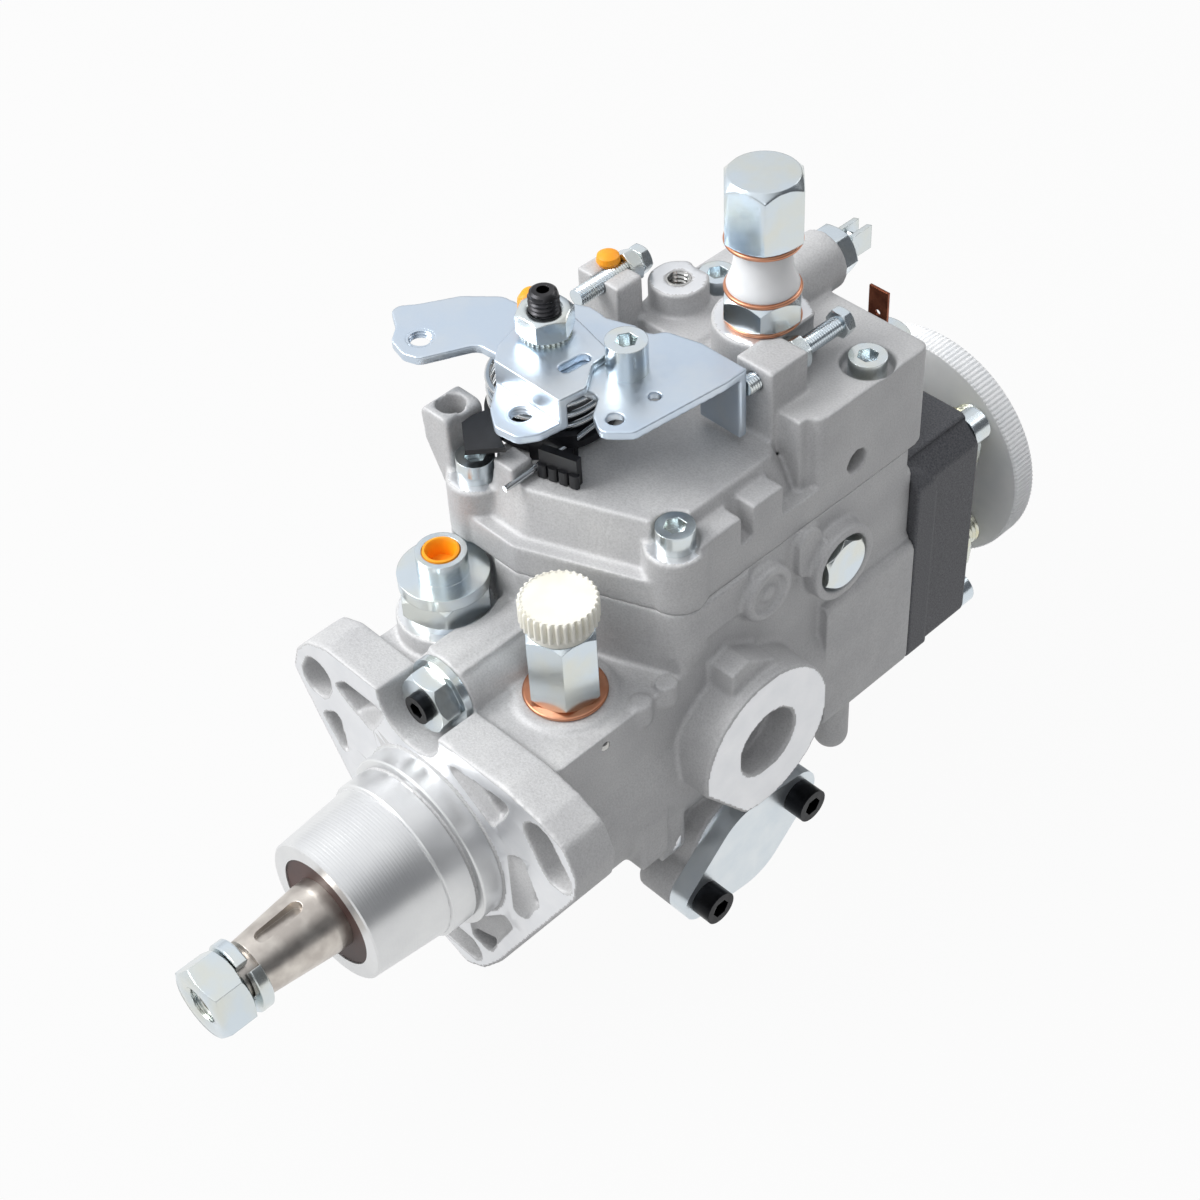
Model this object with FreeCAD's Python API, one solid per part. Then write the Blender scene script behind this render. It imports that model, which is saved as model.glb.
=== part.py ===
import FreeCAD, Part
import math
import os

# Rotary distributor injection pump, in millimetres. The origin is the centre of the
# mounting face of the flange, on the axis of the drive shaft. The shaft lies along Y with
# its drive end at -Y, Z is up, and +X is the side with the round flat boss.

Vector = FreeCAD.Vector

# Clearances
running_gap = 0.05
free_gap = 0.3
flat_gap = 0.1

# Drive shaft
shaft_radius = 10.0
taper_front_y = -60.5
taper_back_y = -40.0
taper_small_radius = 8.0
shaft_thread_radius = 6.0
shaft_front_y = -72.5
shaft_back_y = 61.0
keyway_width = 4.0
keyway_depth = 2.2
keyway_length = 14.0
coupling_radius = 13.0
coupling_front_y = 57.0
claw_inner = 6.0
claw_width = 8.0
claw_length = 12.0
shaft_nut_flats = 19.0
shaft_nut_height = 10.0
lock_washer_radius = 10.2
lock_washer_bore = 6.5
lock_washer_height = 5.0
lock_washer_slit = 2.0

# Snout, pilot and flange of the housing
snout_front_y = -37.0
snout_front_radius = 20.5
snout_back_radius = 22.3
band_front_y = -15.0
band_radius = 23.0
groove_front_y = -7.5
pilot_length = 6.5
pilot_radius = 25.0
flange_thickness = 13.0
pocket_depth = 8.0
flange_hole_radius = 50.0
flange_slot_width = 10.0
flange_slot_length = 20.0
lower_slot_z = -43.5
seal_radius = 15.5
seal_depth = 7.0
bush_bore = 12.0
bush_length = 20.0
rear_bush_length = 11.0

# Body of the housing
barrel_radius = 36.0
cavity_radius = 31.0
cam_bore_radius = 25.6
cavity_front_y = 26.0
spring_room_radius = 23.5
spring_room_front_y = 103.5
housing_back_y = 143.5
side_left = -34.0
side_right = 33.0
chamber_front_y = 40.0
chamber_wall = 3.6
chamber_floor_z = 14.0
chamber_back_y = 133.0
bevel_start_x = -8.0
bevel_end_y = 57.0
parting_z = 57.0
shelf_z = 36.0
rear_block_front_y = 108.0
rear_block_side = 36.0
head_low_z = -27.0
head_high_z = 50.0
head_chamfer = 7.0
side_boss_y = 75.4
side_boss_z = 6.4
side_boss_radius = 23.0
side_boss_face_x = 45.0
side_boss_hole = 10.0
side_boss_hole_depth = 9.0
lower_ear_radius = 5.0
lower_ear_x = 29.5
lower_ear_y = 119.0
lower_ear_z = -36.0
pivot_bolt_z = 40.0
pivot_boss_radius = 11.2
pivot_thread_radius = 6.0
pivot_recess_radius = 8.6
pivot_recess_depth = 5.0
pivot_hole_depth = 14.0
pivot_pin_radius = 2.5
pivot_bolt_flats = 14.0
plug_boss_y = 85.0
plug_boss_z = 47.0
plug_boss_radius = 8.0

# Timing (advance) cylinder
timing_y = 73.4
timing_z = -37.5
timing_bore = 10.5
timing_wall_radius = 17.5
timing_face_x = 35.0
timing_plate_thickness = 6.0
timing_plate_half_width = 15.5
timing_screw_reach = 19.15
timing_screw_tilt = 16.8
timing_ear_radius = 7.5
piston_length = 44.0
piston_travel = 6.0
advance_pin_radius = 3.0
advance_ball_radius = 3.8

# Governor
governor_x = -6.0
governor_z = 37.5
governor_shaft_radius = 4.0
governor_shaft_front_y = 3.0
governor_shaft_back_y = 92.0
governor_nut_flats = 13.0
governor_nut_y = 5.0
governor_nut_radius = 10.0
drive_teeth = 37
governor_teeth = 23
gear_front_y = 50.0
gear_width = 5.0
carrier_radius = 18.0
carrier_back_y = 69.2
weight_count = 4
weight_width = 9.0
weight_pivot_radius = 14.6
weight_inner = 9.4
toe_inner = 5.6
toe_thickness = 2.5
toe_half_width = 2.5
cup_floor = 2.5
weight_set_back = 1.0
sleeve_radius = 6.4
sleeve_back_y = 98.0
sleeve_nose_radius = 1.8
sleeve_nose_tip = 0.6
sleeve_nose_length = 1.2
sleeve_end_wall = 3.0
lever_pivot_y = 112.0
lever_pivot_z = 21.0
lever_pin_radius = 3.0
lever_half_width = 4.0
guide_inner = 6.0
guide_outer = 9.0
guide_low_z = 32.0
guide_arm_z = 36.0
guide_top_z = 46.0
guide_cheek = 2.5
guide_thickness = 3.0
pivot_pin_end_x = 24.0

# Supply pump
eccentric_outer = 30.9
eccentric_inner = 23.0
eccentric_offset = 2.0
supply_width = 18.0
supply_cover_thickness = 4.0
rotor_radius = 20.6
vane_count = 4
vane_thickness = 3.0
vane_depth = 8.0

# Roller ring, cam plate and plunger
ring_front_y = 69.6
ring_back_y = 86.0
ring_inner = 14.0
roller_radius = 5.0
roller_y = 84.0
roller_length = 8.0
roller_count = 4
cam_radius = 24.0
cam_back_y = 99.0
cam_lift = 2.2
cam_thickness = 7.4
plunger_radius = 5.0
plunger_back_y = 148.0
spool_radius = 10.0
spool_front_y = 105.5
spool_length = 11.0
barrel_front_y = 118.0
barrel_outer = 15.0
plunger_spring_x = 17.0
plunger_spring_radius = 4.4
spring_wire = 1.3
arcs_per_turn = 8
bridge_thickness = 2.6

# Distributor head and what it carries
head_length = 26.5
valve_x = 19.0
valve_spread_z = 19.5
valve_centre_z = 10.0
valve_flats = 17.0
valve_length = 22.0
valve_tip_radius = 6.0
transport_cap_radius = 36.0
transport_cap_reach = 27.0
transport_cap_thickness = 8.0
solenoid_x = 5.5
solenoid_set_back = 17.0
solenoid_radius = 9.0
solenoid_thread_radius = 7.88
solenoid_flats = 18.0
solenoid_height = 19.0
spade_foot = 3.0
spade_length = 12.5

# Governor cover
cover_wall = 4.0
cover_flange_z = 66.0
cover_back_y = 148.0
dome_top_z = 79.0
dome_inset = 5.0
dome_back_y = 108.0
block_top_z = 88.0
front_boss_z = 73.6
rear_boss_z = 84.0
cover_screw_boss = 8.0
front_right_screw = (26.3, 62.3)
front_left_screw = (-27.9, 47.0)
rear_right_screw = (25.8, 131.9)
rear_left_screw = (-25.8, 131.9)
return_x = 3.0
return_y = 118.0
return_boss_radius = 13.0
return_boss_z = 98.5
post_x = 16.2
post_y = 107.0
post_width = 17.0
post_depth = 13.0
post_top_z = 100.0
stop_screw_z = 95.0
stop_screw_radius = 2.5
stop_nut_flats = 8.0
stop_nut_height = 4.0
stop_head_flats = 7.0
stop_head_height = 3.2
stop_head_hole = 0.7
left_post_x = -37.0
left_post_y = 101.0
left_post_width = 15.0
left_post_depth = 9.0
lug_outer_x = -43.5
lug_inner_x = -33.3
lug_y = 49.5
lug_top_z = 89.0
lug_hole = 3.8
hook_post_x = -17.0
hook_post_y = 49.5
hook_post_z = 83.0
full_load_x = -9.4
full_load_z = 90.0
full_load_boss = 8.5
full_load_boss_y = 155.0
rear_tap_x = -26.8
rear_tap_y = 118.4
rear_tap_z = 95.0
rear_tap_radius = 3.2
rear_tap_depth = 15.0
rear_tap_boss = 8.0
side_tap_y = 121.0
side_tap_z = 66.2
side_tap_radius = 3.5
side_tap_depth = 14.0

# Socket head screws, size M6
screw_radius = 3.0
screw_head_radius = 5.0
screw_head_height = 6.0
socket_flats = 5.0
short_screw = 25.0
long_screw = 35.0
timing_screw = 14.0

# Zinc plated fittings on top
regulator_x = -24.0
regulator_y = 30.0
regulator_boss_z = 42.0
regulator_flats = 22.0
regulator_room = 13.1
inlet_x = 15.5
inlet_y = 33.3
inlet_flats = 17.0
inlet_height = 22.0
inlet_cap_radius = 10.0
inlet_cap_height = 9.0
washer_thickness = 1.2
adaptor_flats = 19.0
adaptor_height = 7.5
return_thread = 5.5
sleeve_outer = 9.2
sleeve_height = 13.0
cap_nut_flats = 19.0
cap_nut_height = 18.0

# Control levers
control_x = -26.5
control_y = 72.0
control_radius = 4.0
control_boss_radius = 9.0
control_boss_z = 84.0
lever_z = 99.0
lever_thickness = 2.5
lever_nut_flats = 13.0
lever_nut_height = 6.5
lever_washer_height = 1.0
control_top_z = 117.0
lever_flange_drop = 18.0
lever_flange_y = 97.0
lower_plate_z = 94.5
lever_hole = (-50.5, 51.7)
plate_hole = (-14.7, 52.0)
lever_hole_radius = 3.4
lever_small_hole = (8.0, 74.8)
lever_small_radius = 1.6
lever_lower_hole = (7.0, 62.5)
lever_lower_radius = 2.2
spacer_hole_radius = 2.6
plate_room_x = (-40.0, 20.0)
plate_front_y = 40.0
plate_step_y = 58.5
plate_back_y = 90.0
plate_slot_x = -12.8
plate_slot_y = 68.5
plate_slot_width = 3.6
plate_slot_length = 9.0
return_coil_radius = 17.0
return_coil_wire = 1.7
return_coil_turns = 3
seat_foot_z = 80.0
seat_plate_radius = 17.0
seat_plate_thickness = 2.0
seat_hub_radius = 12.0
seat_rim_thickness = 2.4
seat_tab_width = 12.0
seat_tab_thickness = 2.0
seat_tab_low_z = 79.2
seat_tab_high_z = 86.0
seat_tab_angle = 41.8
spacer_x = -3.9
spacer_y = 77.5
spacer_socket_height = 9.0
crank_pin_x = 9.0
crank_pin_y = 7.5
crank_pin_radius = 2.0
crank_z = 62.0


# Basic shapes
def rod(radius, start, end):
    """Solid cylinder from one point to another."""
    path = Vector(*end) - Vector(*start)
    return Part.makeCylinder(radius, path.Length, Vector(*start), path)


def ring(outer, inner, start, end):
    """Hollow cylinder from one point to another."""
    path = Vector(*end) - Vector(*start)
    over = Vector(*start) - path
    bore = Part.makeCylinder(inner, path.Length * 3, over, path)
    return rod(outer, start, end).cut(bore)


def taper(radius_a, radius_b, start, end):
    """Cone frustum from one point to another."""
    path = Vector(*end) - Vector(*start)
    return Part.makeCone(radius_a, radius_b, path.Length, Vector(*start), path)


def block(low, high):
    """Box between two opposite corners."""
    size = Vector(*high) - Vector(*low)
    return Part.makeBox(size.x, size.y, size.z, Vector(*low))


def rounded_wire(points, radius):
    """Closed outline through the points, each corner rounded by an arc."""
    count = len(points)
    starts = []
    arcs = []
    ends = []
    for i in range(count):
        corner = points[i]
        before = points[i - 1] - corner
        after = points[(i + 1) % count] - corner
        half = before.getAngle(after) / 2
        reach = min(radius / math.tan(half), 0.45 * before.Length, 0.45 * after.Length)
        real_radius = reach * math.tan(half)
        a = corner + before.normalize() * reach
        b = corner + after.normalize() * reach
        middle = (before + after).normalize()
        top = corner + middle * (real_radius / math.sin(half) - real_radius)
        starts.append(a)
        ends.append(b)
        arcs.append(Part.Arc(a, top, b).toShape())
    edges = []
    for i in range(count):
        edges.append(arcs[i])
        edges.append(Part.LineSegment(ends[i], starts[(i + 1) % count]).toShape())
    return Part.Wire(edges)


def outline_solid(points, radius, depth):
    """Prism of a rounded outline, pushed along the depth vector."""
    face = Part.Face(rounded_wire(points, radius))
    return face.extrude(Vector(*depth))


def plan(points, z):
    """Points seen from above, put at the height z."""
    return [Vector(x, y, z) for x, y in points]


def front(points, y):
    """Points seen from the drive end, put at the depth y."""
    return [Vector(x, y, z) for x, z in points]


def side(points, x):
    """Points seen from the right side, put at the distance x."""
    return [Vector(x, y, z) for y, z in points]


def hexagon(flats, start, end, turn=0.0):
    """Hexagonal bar from one point to another, by its width across flats."""
    path = Vector(*end) - Vector(*start)
    across = Vector(1, 0, 0)
    if abs(path.x) > abs(path.y) + abs(path.z):
        across = Vector(0, 1, 0)
    other = path.normalize().cross(across)
    radius = flats / 2 / math.cos(math.pi / 6)
    corners = []
    for i in range(6):
        angle = math.radians(60 * i + turn)
        spoke = across * math.cos(angle) + other * math.sin(angle)
        corners.append(Vector(*start) + spoke * radius)
    corners.append(corners[0])
    face = Part.Face(Part.makePolygon(corners))
    return face.extrude(Vector(*end) - Vector(*start))


def nut(flats, start, end, turn=0.0):
    """Hexagon with its corners turned off at both ends."""
    length = (Vector(*end) - Vector(*start)).Length
    radius = flats / 2 / math.cos(math.pi / 6)
    slope = radius * 0.13
    barrel = rod(radius, start, end)
    edges = [e for e in barrel.Edges if abs(e.Length - 2 * math.pi * radius) < 0.01]
    barrel = barrel.makeChamfer(min(slope, length / 4), edges)
    return hexagon(flats, start, end, turn).common(barrel)


def slot(width, length, centre, along, depth):
    """Round-ended slot, by its full width and length, pushed along depth."""
    half = Vector(*along).normalize() * (length - width) / 2
    a = Vector(*centre) - half
    b = Vector(*centre) + half
    tool = Part.makeCylinder(width / 2, Vector(*depth).Length, a, Vector(*depth))
    tool = tool.fuse(Part.makeCylinder(width / 2, Vector(*depth).Length, b, Vector(*depth)))
    across = half.cross(Vector(*depth)).normalize() * width / 2
    corners = [a + across, b + across, b - across, a - across, a + across]
    middle = Part.Face(Part.makePolygon(corners)).extrude(Vector(*depth))
    return tool.fuse(middle).removeSplitter()


def join(solids):
    """One solid made of overlapping ones."""
    shape = solids[0].fuse(solids[1:])
    return shape.removeSplitter()


def spring(radius, wire, turns, start, path):
    """Coil spring along the path, swept along short arcs that lie on the helix."""
    climb = Vector(*path).Length - 2 * wire
    steps = arcs_per_turn * int(turns)
    points = []
    for i in range(2 * steps + 1):
        share = i / (2 * steps)
        angle = 2 * math.pi * turns * share
        points.append(Vector(radius * math.cos(angle), radius * math.sin(angle), climb * share))
    arcs = [Part.Arc(points[2 * i], points[2 * i + 1], points[2 * i + 2]).toShape()
            for i in range(steps)]
    tangent = Vector(0, radius, climb / turns / 2 / math.pi)
    circle = Part.Wire(Part.Circle(points[0], tangent, wire).toShape())
    coil = Part.Wire(arcs).makePipeShell([circle], True, False)
    turn = FreeCAD.Rotation(Vector(0, 0, 1), Vector(*path))
    lift = Vector(*start) + Vector(*path).normalize() * wire
    coil.Placement = FreeCAD.Placement(lift, turn)
    return coil


def polar(radius, degrees, y=0.0, x=0.0, z=0.0):
    """Point on a circle about an axis along Y, from +X towards +Z."""
    angle = math.radians(degrees)
    return (x + radius * math.cos(angle), y, z + radius * math.sin(angle))


def turned_y(shape, degrees, x=0.0, z=0.0):
    """Copy of a shape turned about an axis along Y, from +X towards +Z."""
    copy = shape.copy()
    copy.rotate(Vector(x, 0, z), Vector(0, -1, 0), degrees)
    return copy


# Mounting flange
flange_outline = [
    (-54.1, 21.7), (-51.3, 30.0), (-45.7, 36.3), (-37.9, 39.4), (-14.6, 39.0),
    (-4.8, 38.0), (10.5, 38.4), (29.6, 39.0), (41.8, 36.8), (49.8, 33.2),
    (53.4, 24.5), (52.0, 16.1), (18.9, -39.8), (12.0, -48.7), (4.6, -53.4),
    (-5.2, -49.2), (-36.5, -10.2), (-47.1, 8.8),
]
flange_pockets = [
    [(-31.5, 31.3), (-14.8, 31.7), (-22.7, 19.5), (-35.9, 27.3)],
    [(-43.9, 10.8), (-36.8, 16.1), (-34.6, -2.8)],
    [(6.4, 31.4), (31.0, 33.7), (23.4, 19.5)],
    [(28.0, 12.9), (33.3, 16.6), (37.9, 2.6), (32.7, -8.2), (27.8, -10.0)],
    [(8.5, -30.2), (9.3, -36.8), (15.4, -37.5), (26.6, -17.2), (24.1, -14.6)],
]


def flange():
    plate = outline_solid(front(flange_outline, 0), 4, (0, flange_thickness, 0))
    for pocket in flange_pockets:
        tool = outline_solid(front(pocket, -1), 1.5, (0, pocket_depth + 1, 0))
        plate = plate.cut(tool)
    through = (0, flange_thickness + 2, 0)
    right = polar(flange_hole_radius, 30, -1)
    left = polar(flange_hole_radius, 151, -1)
    across = polar(1, 120)
    plate = plate.cut(slot(flange_slot_width, flange_slot_length, right, across, through))
    across = polar(1, 65)
    left_length = flange_slot_length - 6
    plate = plate.cut(slot(flange_slot_width, left_length, left, across, through))
    low = (0, -1, lower_slot_z)
    low_width = flange_slot_width - 1
    return plate.cut(slot(low_width, flange_slot_length + 2, low, (1, 0, 0), through))


def snout():
    groove_radius = band_radius - 0.7
    parts = [
        taper(snout_front_radius, snout_back_radius, (0, snout_front_y, 0), (0, band_front_y, 0)),
        rod(band_radius, (0, band_front_y, 0), (0, groove_front_y, 0)),
        rod(groove_radius, (0, groove_front_y, 0), (0, -pilot_length, 0)),
        rod(pilot_radius, (0, -pilot_length, 0), (0, flange_thickness, 0)),
    ]
    return join(parts)


# Plan of the joint between housing and cover
def top_plan(back_y, inset=0.0):
    """Outline of the governor room seen from above, drawn in by the inset."""
    slant = (bevel_end_y - chamber_front_y) / (side_right - bevel_start_x)
    shift = inset * (math.sqrt(1 + slant * slant) - 1) / slant
    right_y = bevel_end_y + inset + shift * slant * slant - inset * slant
    return [
        (side_left + inset, chamber_front_y + inset),
        (bevel_start_x - shift, chamber_front_y + inset),
        (side_right - inset, right_y),
        (side_right - inset, back_y - inset),
        (side_left + inset, back_y - inset),
    ]


def housing_outer():
    """Everything of the casting before it is bored."""
    chamber = outline_solid(plan(top_plan(housing_back_y), 0), 3, (0, 0, parting_z))
    barrel = rod(barrel_radius, (0, 1, 0), (0, housing_back_y - 20, 0))
    shelf_points = [
        (side_left, 6), (side_right - 3, 6), (side_right, 15), (side_right, bevel_end_y + 5),
        (side_left, bevel_end_y),
    ]
    shelf = outline_solid(plan(shelf_points, 0), 3, (0, 0, shelf_z))
    rear_points = [
        (-rear_block_side, head_low_z + head_chamfer),
        (-rear_block_side + head_chamfer, head_low_z),
        (rear_block_side - head_chamfer, head_low_z),
        (rear_block_side, head_low_z + head_chamfer),
        (rear_block_side, 23),
        (rear_block_side - 3, 27),
        (rear_block_side - 3, head_high_z),
        (-rear_block_side + 3, head_high_z),
        (-rear_block_side, 23),
    ]
    rear_depth = housing_back_y - rear_block_front_y
    rear = outline_solid(front(rear_points, rear_block_front_y), 2, (0, rear_depth, 0))
    timing = rod(timing_wall_radius, (-timing_face_x, timing_y, timing_z),
                 (timing_face_x, timing_y, timing_z))
    web = block((-timing_face_x + 7, timing_y - timing_wall_radius, timing_z),
                (timing_face_x - 7, timing_y + timing_wall_radius, 0))
    solids = [snout(), flange(), barrel, chamber, shelf, rear, timing, web]
    for sign in (-1, 1):
        solids += timing_ears(sign)
    solids += [side_boss(), regulator_boss(), inlet_pad(), governor_boss()]
    solids += pivot_bosses() + small_bosses()
    return join(solids)


def timing_axis_point(reach, x):
    """Point on the line of the timing cover's screws, tilted up to the rear."""
    angle = math.radians(timing_screw_tilt)
    return (x, timing_y + reach * math.cos(angle), timing_z + reach * math.sin(angle))


def timing_ears(sign):
    ears = []
    depth = 12
    for reach in (-timing_screw_reach, timing_screw_reach):
        outer = timing_axis_point(reach, sign * timing_face_x)
        inner = timing_axis_point(reach, sign * (timing_face_x - depth))
        ears.append(rod(timing_ear_radius, outer, inner))
    return ears


def side_boss():
    boss = rod(side_boss_radius, (0, side_boss_y, side_boss_z),
               (side_boss_face_x, side_boss_y, side_boss_z))
    corner = block((-1, side_boss_y - 60, -20), (60, side_boss_y - 20, 60))
    corner.rotate(Vector(0, side_boss_y, side_boss_z), Vector(1, 0, 0), 38)
    return boss.cut(corner)


def regulator_boss():
    low = (regulator_x, regulator_y, 5)
    return rod(regulator_room + 0.4, low, (regulator_x, regulator_y, regulator_boss_z))


def inlet_pad():
    pad_radius = inlet_flats / 2 + 5
    return rod(pad_radius, (inlet_x, inlet_y, 5), (inlet_x, inlet_y, shelf_z + 1))


def governor_boss():
    round_boss = rod(governor_nut_radius + 0.4, (governor_x, flange_thickness, governor_z),
                     (governor_x, chamber_front_y + 2, governor_z))
    square = block((governor_x - 7, flange_thickness + 1, governor_z - 10),
                   (governor_x + 6, chamber_front_y + 1, governor_z + 9.5))
    return round_boss.fuse(square)


def pivot_bosses():
    return [
        rod(pivot_boss_radius, (side_left - 4, lever_pivot_y, pivot_bolt_z),
            (side_right + 5, lever_pivot_y, pivot_bolt_z)),
    ]


def small_bosses():
    """Plug boss, front lugs, rear lower ear and flat pad of the casting."""
    return [
        rod(plug_boss_radius - 0.5, (side_right - 4, plug_boss_y, plug_boss_z),
            (side_right + 2, plug_boss_y, plug_boss_z)),
        rod(plug_boss_radius, (side_right - 4, plug_boss_y, plug_boss_z),
            (side_right + 0.8, plug_boss_y, plug_boss_z)),
        rod(lower_ear_radius, (lower_ear_x, lower_ear_y, lower_ear_z), (lower_ear_x, lower_ear_y, -8)),
        Part.makeSphere(lower_ear_radius, Vector(lower_ear_x, lower_ear_y, lower_ear_z)),
        block((24, 37, -20), (36.5, 47, -4)),
        block((22, 46, -26), (34.5, 55, -11)),
    ]


def pin_slot():
    """Room between roller ring and timing piston for the advance pin."""
    reach = advance_pin_radius + 1.0
    return block((-reach, timing_y - reach, timing_z),
                 (piston_travel + reach, timing_y + reach, 0))


def pump_housing():
    solid = housing_outer()
    bore_front = (0, snout_front_y - 1, 0)
    tools = [
        rod(bush_bore, bore_front, (0, cavity_front_y + 1, 0)),
        rod(seal_radius, bore_front, (0, snout_front_y + seal_depth, 0)),
        rod(cavity_radius, (0, cavity_front_y, 0), (0, supply_cover_back_y(), 0)),
        rod(cam_bore_radius, (0, supply_cover_back_y() - 1, 0), (0, spring_room_front_y, 0)),
        rod(spring_room_radius, (0, spring_room_front_y - 1, 0), (0, housing_back_y + 1, 0)),
        chamber_room(),
        rod(timing_bore, (-timing_face_x - 1, timing_y, timing_z),
            (timing_face_x + 1, timing_y, timing_z)),
        pin_slot(),
        rod(side_boss_hole, (side_boss_face_x - side_boss_hole_depth, side_boss_y, side_boss_z),
            (side_boss_face_x + 1, side_boss_y, side_boss_z)),
        rod(governor_shaft_radius + 0.02, (governor_x, -1, governor_z),
            (governor_x, 70, governor_z)),
        rod(governor_nut_radius + 1, (governor_x, -1, governor_z),
            (governor_x, flange_thickness, governor_z)),
        rod(6.5, (inlet_x, inlet_y, 22), (inlet_x, inlet_y, shelf_z + 2)),
        rod(3.0, (inlet_x, inlet_y, 22), (inlet_x, 24, 18)),
        rod(8.0, (regulator_x, regulator_y, 20), (regulator_x, regulator_y, regulator_boss_z + 1)),
        rod(3.0, (regulator_x, regulator_y, 21), (regulator_x + 10, 28, 8)),
        rod(regulator_room, (regulator_x, regulator_y, regulator_boss_z),
            (regulator_x, regulator_y, parting_z + 1)),
    ]
    for x in (side_left - 5, side_right + 6):
        inward = -math.copysign(1, x)
        mouth = (x, lever_pivot_y, pivot_bolt_z)
        deep = (x + inward * pivot_hole_depth, lever_pivot_y, pivot_bolt_z)
        seat = (x + inward * pivot_recess_depth, lever_pivot_y, pivot_bolt_z)
        tools.append(rod(pivot_thread_radius, mouth, deep))
        tools.append(rod(pivot_recess_radius, mouth, seat))
    for sign in (-1, 1):
        for reach in (-timing_screw_reach, timing_screw_reach):
            outer = timing_axis_point(reach, sign * (timing_face_x + 1))
            inner = timing_axis_point(reach, sign * (timing_face_x - timing_screw))
            tools.append(rod(screw_radius, outer, inner))
    for x, y in cover_screw_places():
        tools.append(rod(screw_radius, (x, y, parting_z - 12), (x, y, parting_z + 1)))
    for x, z in head_screw_places():
        tools.append(rod(screw_radius, (x, housing_back_y - 12, z), (x, housing_back_y + 1, z)))
    return solid.cut(tools)


def cover_screw_places():
    return [front_right_screw, front_left_screw, rear_right_screw, rear_left_screw]


def head_screw_places():
    x = rear_block_side - 7
    low = head_low_z + 7.5
    high = head_high_z - 7.5
    return [(-x, low), (x, low), (-x, high), (x, high)]


def chamber_room():
    """Inside of the governor room below the parting plane, with walls at the screws."""
    points = top_plan(chamber_back_y + chamber_wall, chamber_wall)
    height = parting_z + 1 - chamber_floor_z
    room = outline_solid(plan(points, chamber_floor_z), 3, (0, 0, height))
    for x, y in cover_screw_places():
        room = room.cut(rod(7, (x, y, chamber_floor_z + 8), (x, y, parting_z + 2)))
    room = room.cut(rod(regulator_room + 3, (regulator_x, regulator_y, regulator_boss_z - 3),
                        (regulator_x, regulator_y, parting_z + 2)))
    sleeve_boss = rod(8, (governor_x, chamber_front_y, governor_z),
                      (governor_x, chamber_front_y + 0.5, governor_z))
    carrier = rod(carrier_radius + 1, (governor_x, gear_front_y - 0.5, governor_z),
                  (governor_x, carrier_back_y + 4, governor_z))
    return room.cut(sleeve_boss).fuse(carrier)


# Governor cover
def rear_block_plan():
    return [
        (side_left, dome_back_y - 2), (side_right, dome_back_y - 2),
        (side_right, cover_back_y), (side_left, cover_back_y),
    ]


def post(x, y, width, depth, top):
    """Upright lug of the cover that carries a stop screw."""
    half = width / 2
    return block((x - half, y - depth / 2, cover_flange_z - 4), (x + half, y + depth / 2, top))


def cover_outer():
    base = outline_solid(plan(top_plan(cover_back_y), parting_z), 3,
                         (0, 0, cover_flange_z - parting_z))
    low = rounded_wire(plan(top_plan(dome_back_y, 2.5), parting_z + 3), 5)
    high = rounded_wire(plan(top_plan(dome_back_y, 2.5 + dome_inset), dome_top_z), 5)
    dome = Part.makeLoft([low, high], True, True)
    rear = outline_solid(plan(rear_block_plan(), parting_z), 3, (0, 0, block_top_z - parting_z))
    right_post = post(post_x + 5, post_y + 1, post_width, post_depth - 2, post_top_z - 12)
    post_tip = post(post_x, post_y, 12, post_depth, post_top_z)
    left_post = post(left_post_x, left_post_y + 3, left_post_width, left_post_depth, post_top_z)
    left_foot = block((left_post_x - left_post_width / 2, left_post_y - 1, cover_flange_z - 4),
                      (side_left + 6, cover_back_y - 30, 80))
    bridge = block((left_post_x + left_post_width / 2, dome_back_y - 3.5 - dome_inset, cover_flange_z - 1),
                   (post_x, dome_back_y - 1, dome_top_z))
    solids = [base, dome, rear, bridge, right_post, post_tip, left_post, left_foot]
    for x, y in (front_right_screw, front_left_screw):
        solids.append(rod(cover_screw_boss, (x, y, parting_z), (x, y, front_boss_z)))
    solids.append(block((side_right - 9, 64, parting_z), (side_right, 78.5, 75.5)))
    solids.append(block((side_right - 9, 82.6, parting_z), (side_right, 93.5, 76)))
    solids.append(rod(return_boss_radius, (return_x, return_y, block_top_z - 4),
                      (return_x, return_y, return_boss_z)))
    solids.append(rod(rear_tap_boss, (rear_tap_x, rear_tap_y, parting_z),
                      (rear_tap_x, rear_tap_y, rear_tap_z)))
    lug_points = [
        (lug_outer_x, lug_top_z), (lug_inner_x, lug_top_z), (lug_inner_x, parting_z + 4),
        (side_left, parting_z + 4), (lug_outer_x + 0.5, lug_top_z - 10),
    ]
    solids.append(outline_solid(front(lug_points, lug_y - 6), 2, (0, 12, 0)))
    solids.append(block((hook_post_x - 3.5, hook_post_y - 3, parting_z + 2),
                        (hook_post_x + 3.5, hook_post_y + 4, hook_post_z)))
    solids.append(rod(full_load_boss, (full_load_x, cover_back_y - 20, full_load_z),
                      (full_load_x, full_load_boss_y, full_load_z)))
    solids.append(rod(control_boss_radius, (control_x, control_y, parting_z + 4),
                      (control_x, control_y, control_boss_z)))
    return join(solids)


def cover_inner():
    """Room under the dome and the rear block."""
    low = rounded_wire(plan(top_plan(chamber_back_y + chamber_wall, chamber_wall), parting_z - 1), 3)
    inset = 2.5 + dome_inset + cover_wall - 1
    high = rounded_wire(plan(top_plan(dome_back_y + 20, inset), dome_top_z - cover_wall), 3)
    room = Part.makeLoft([low, high], True, True)
    for x, y in cover_screw_places():
        room = room.cut(rod(7, (x, y, parting_z - 2), (x, y, dome_top_z)))
    room = room.cut(rod(control_boss_radius - 1, (control_x, control_y, crank_z + 5),
                        (control_x, control_y, dome_top_z)))
    return room


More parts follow.
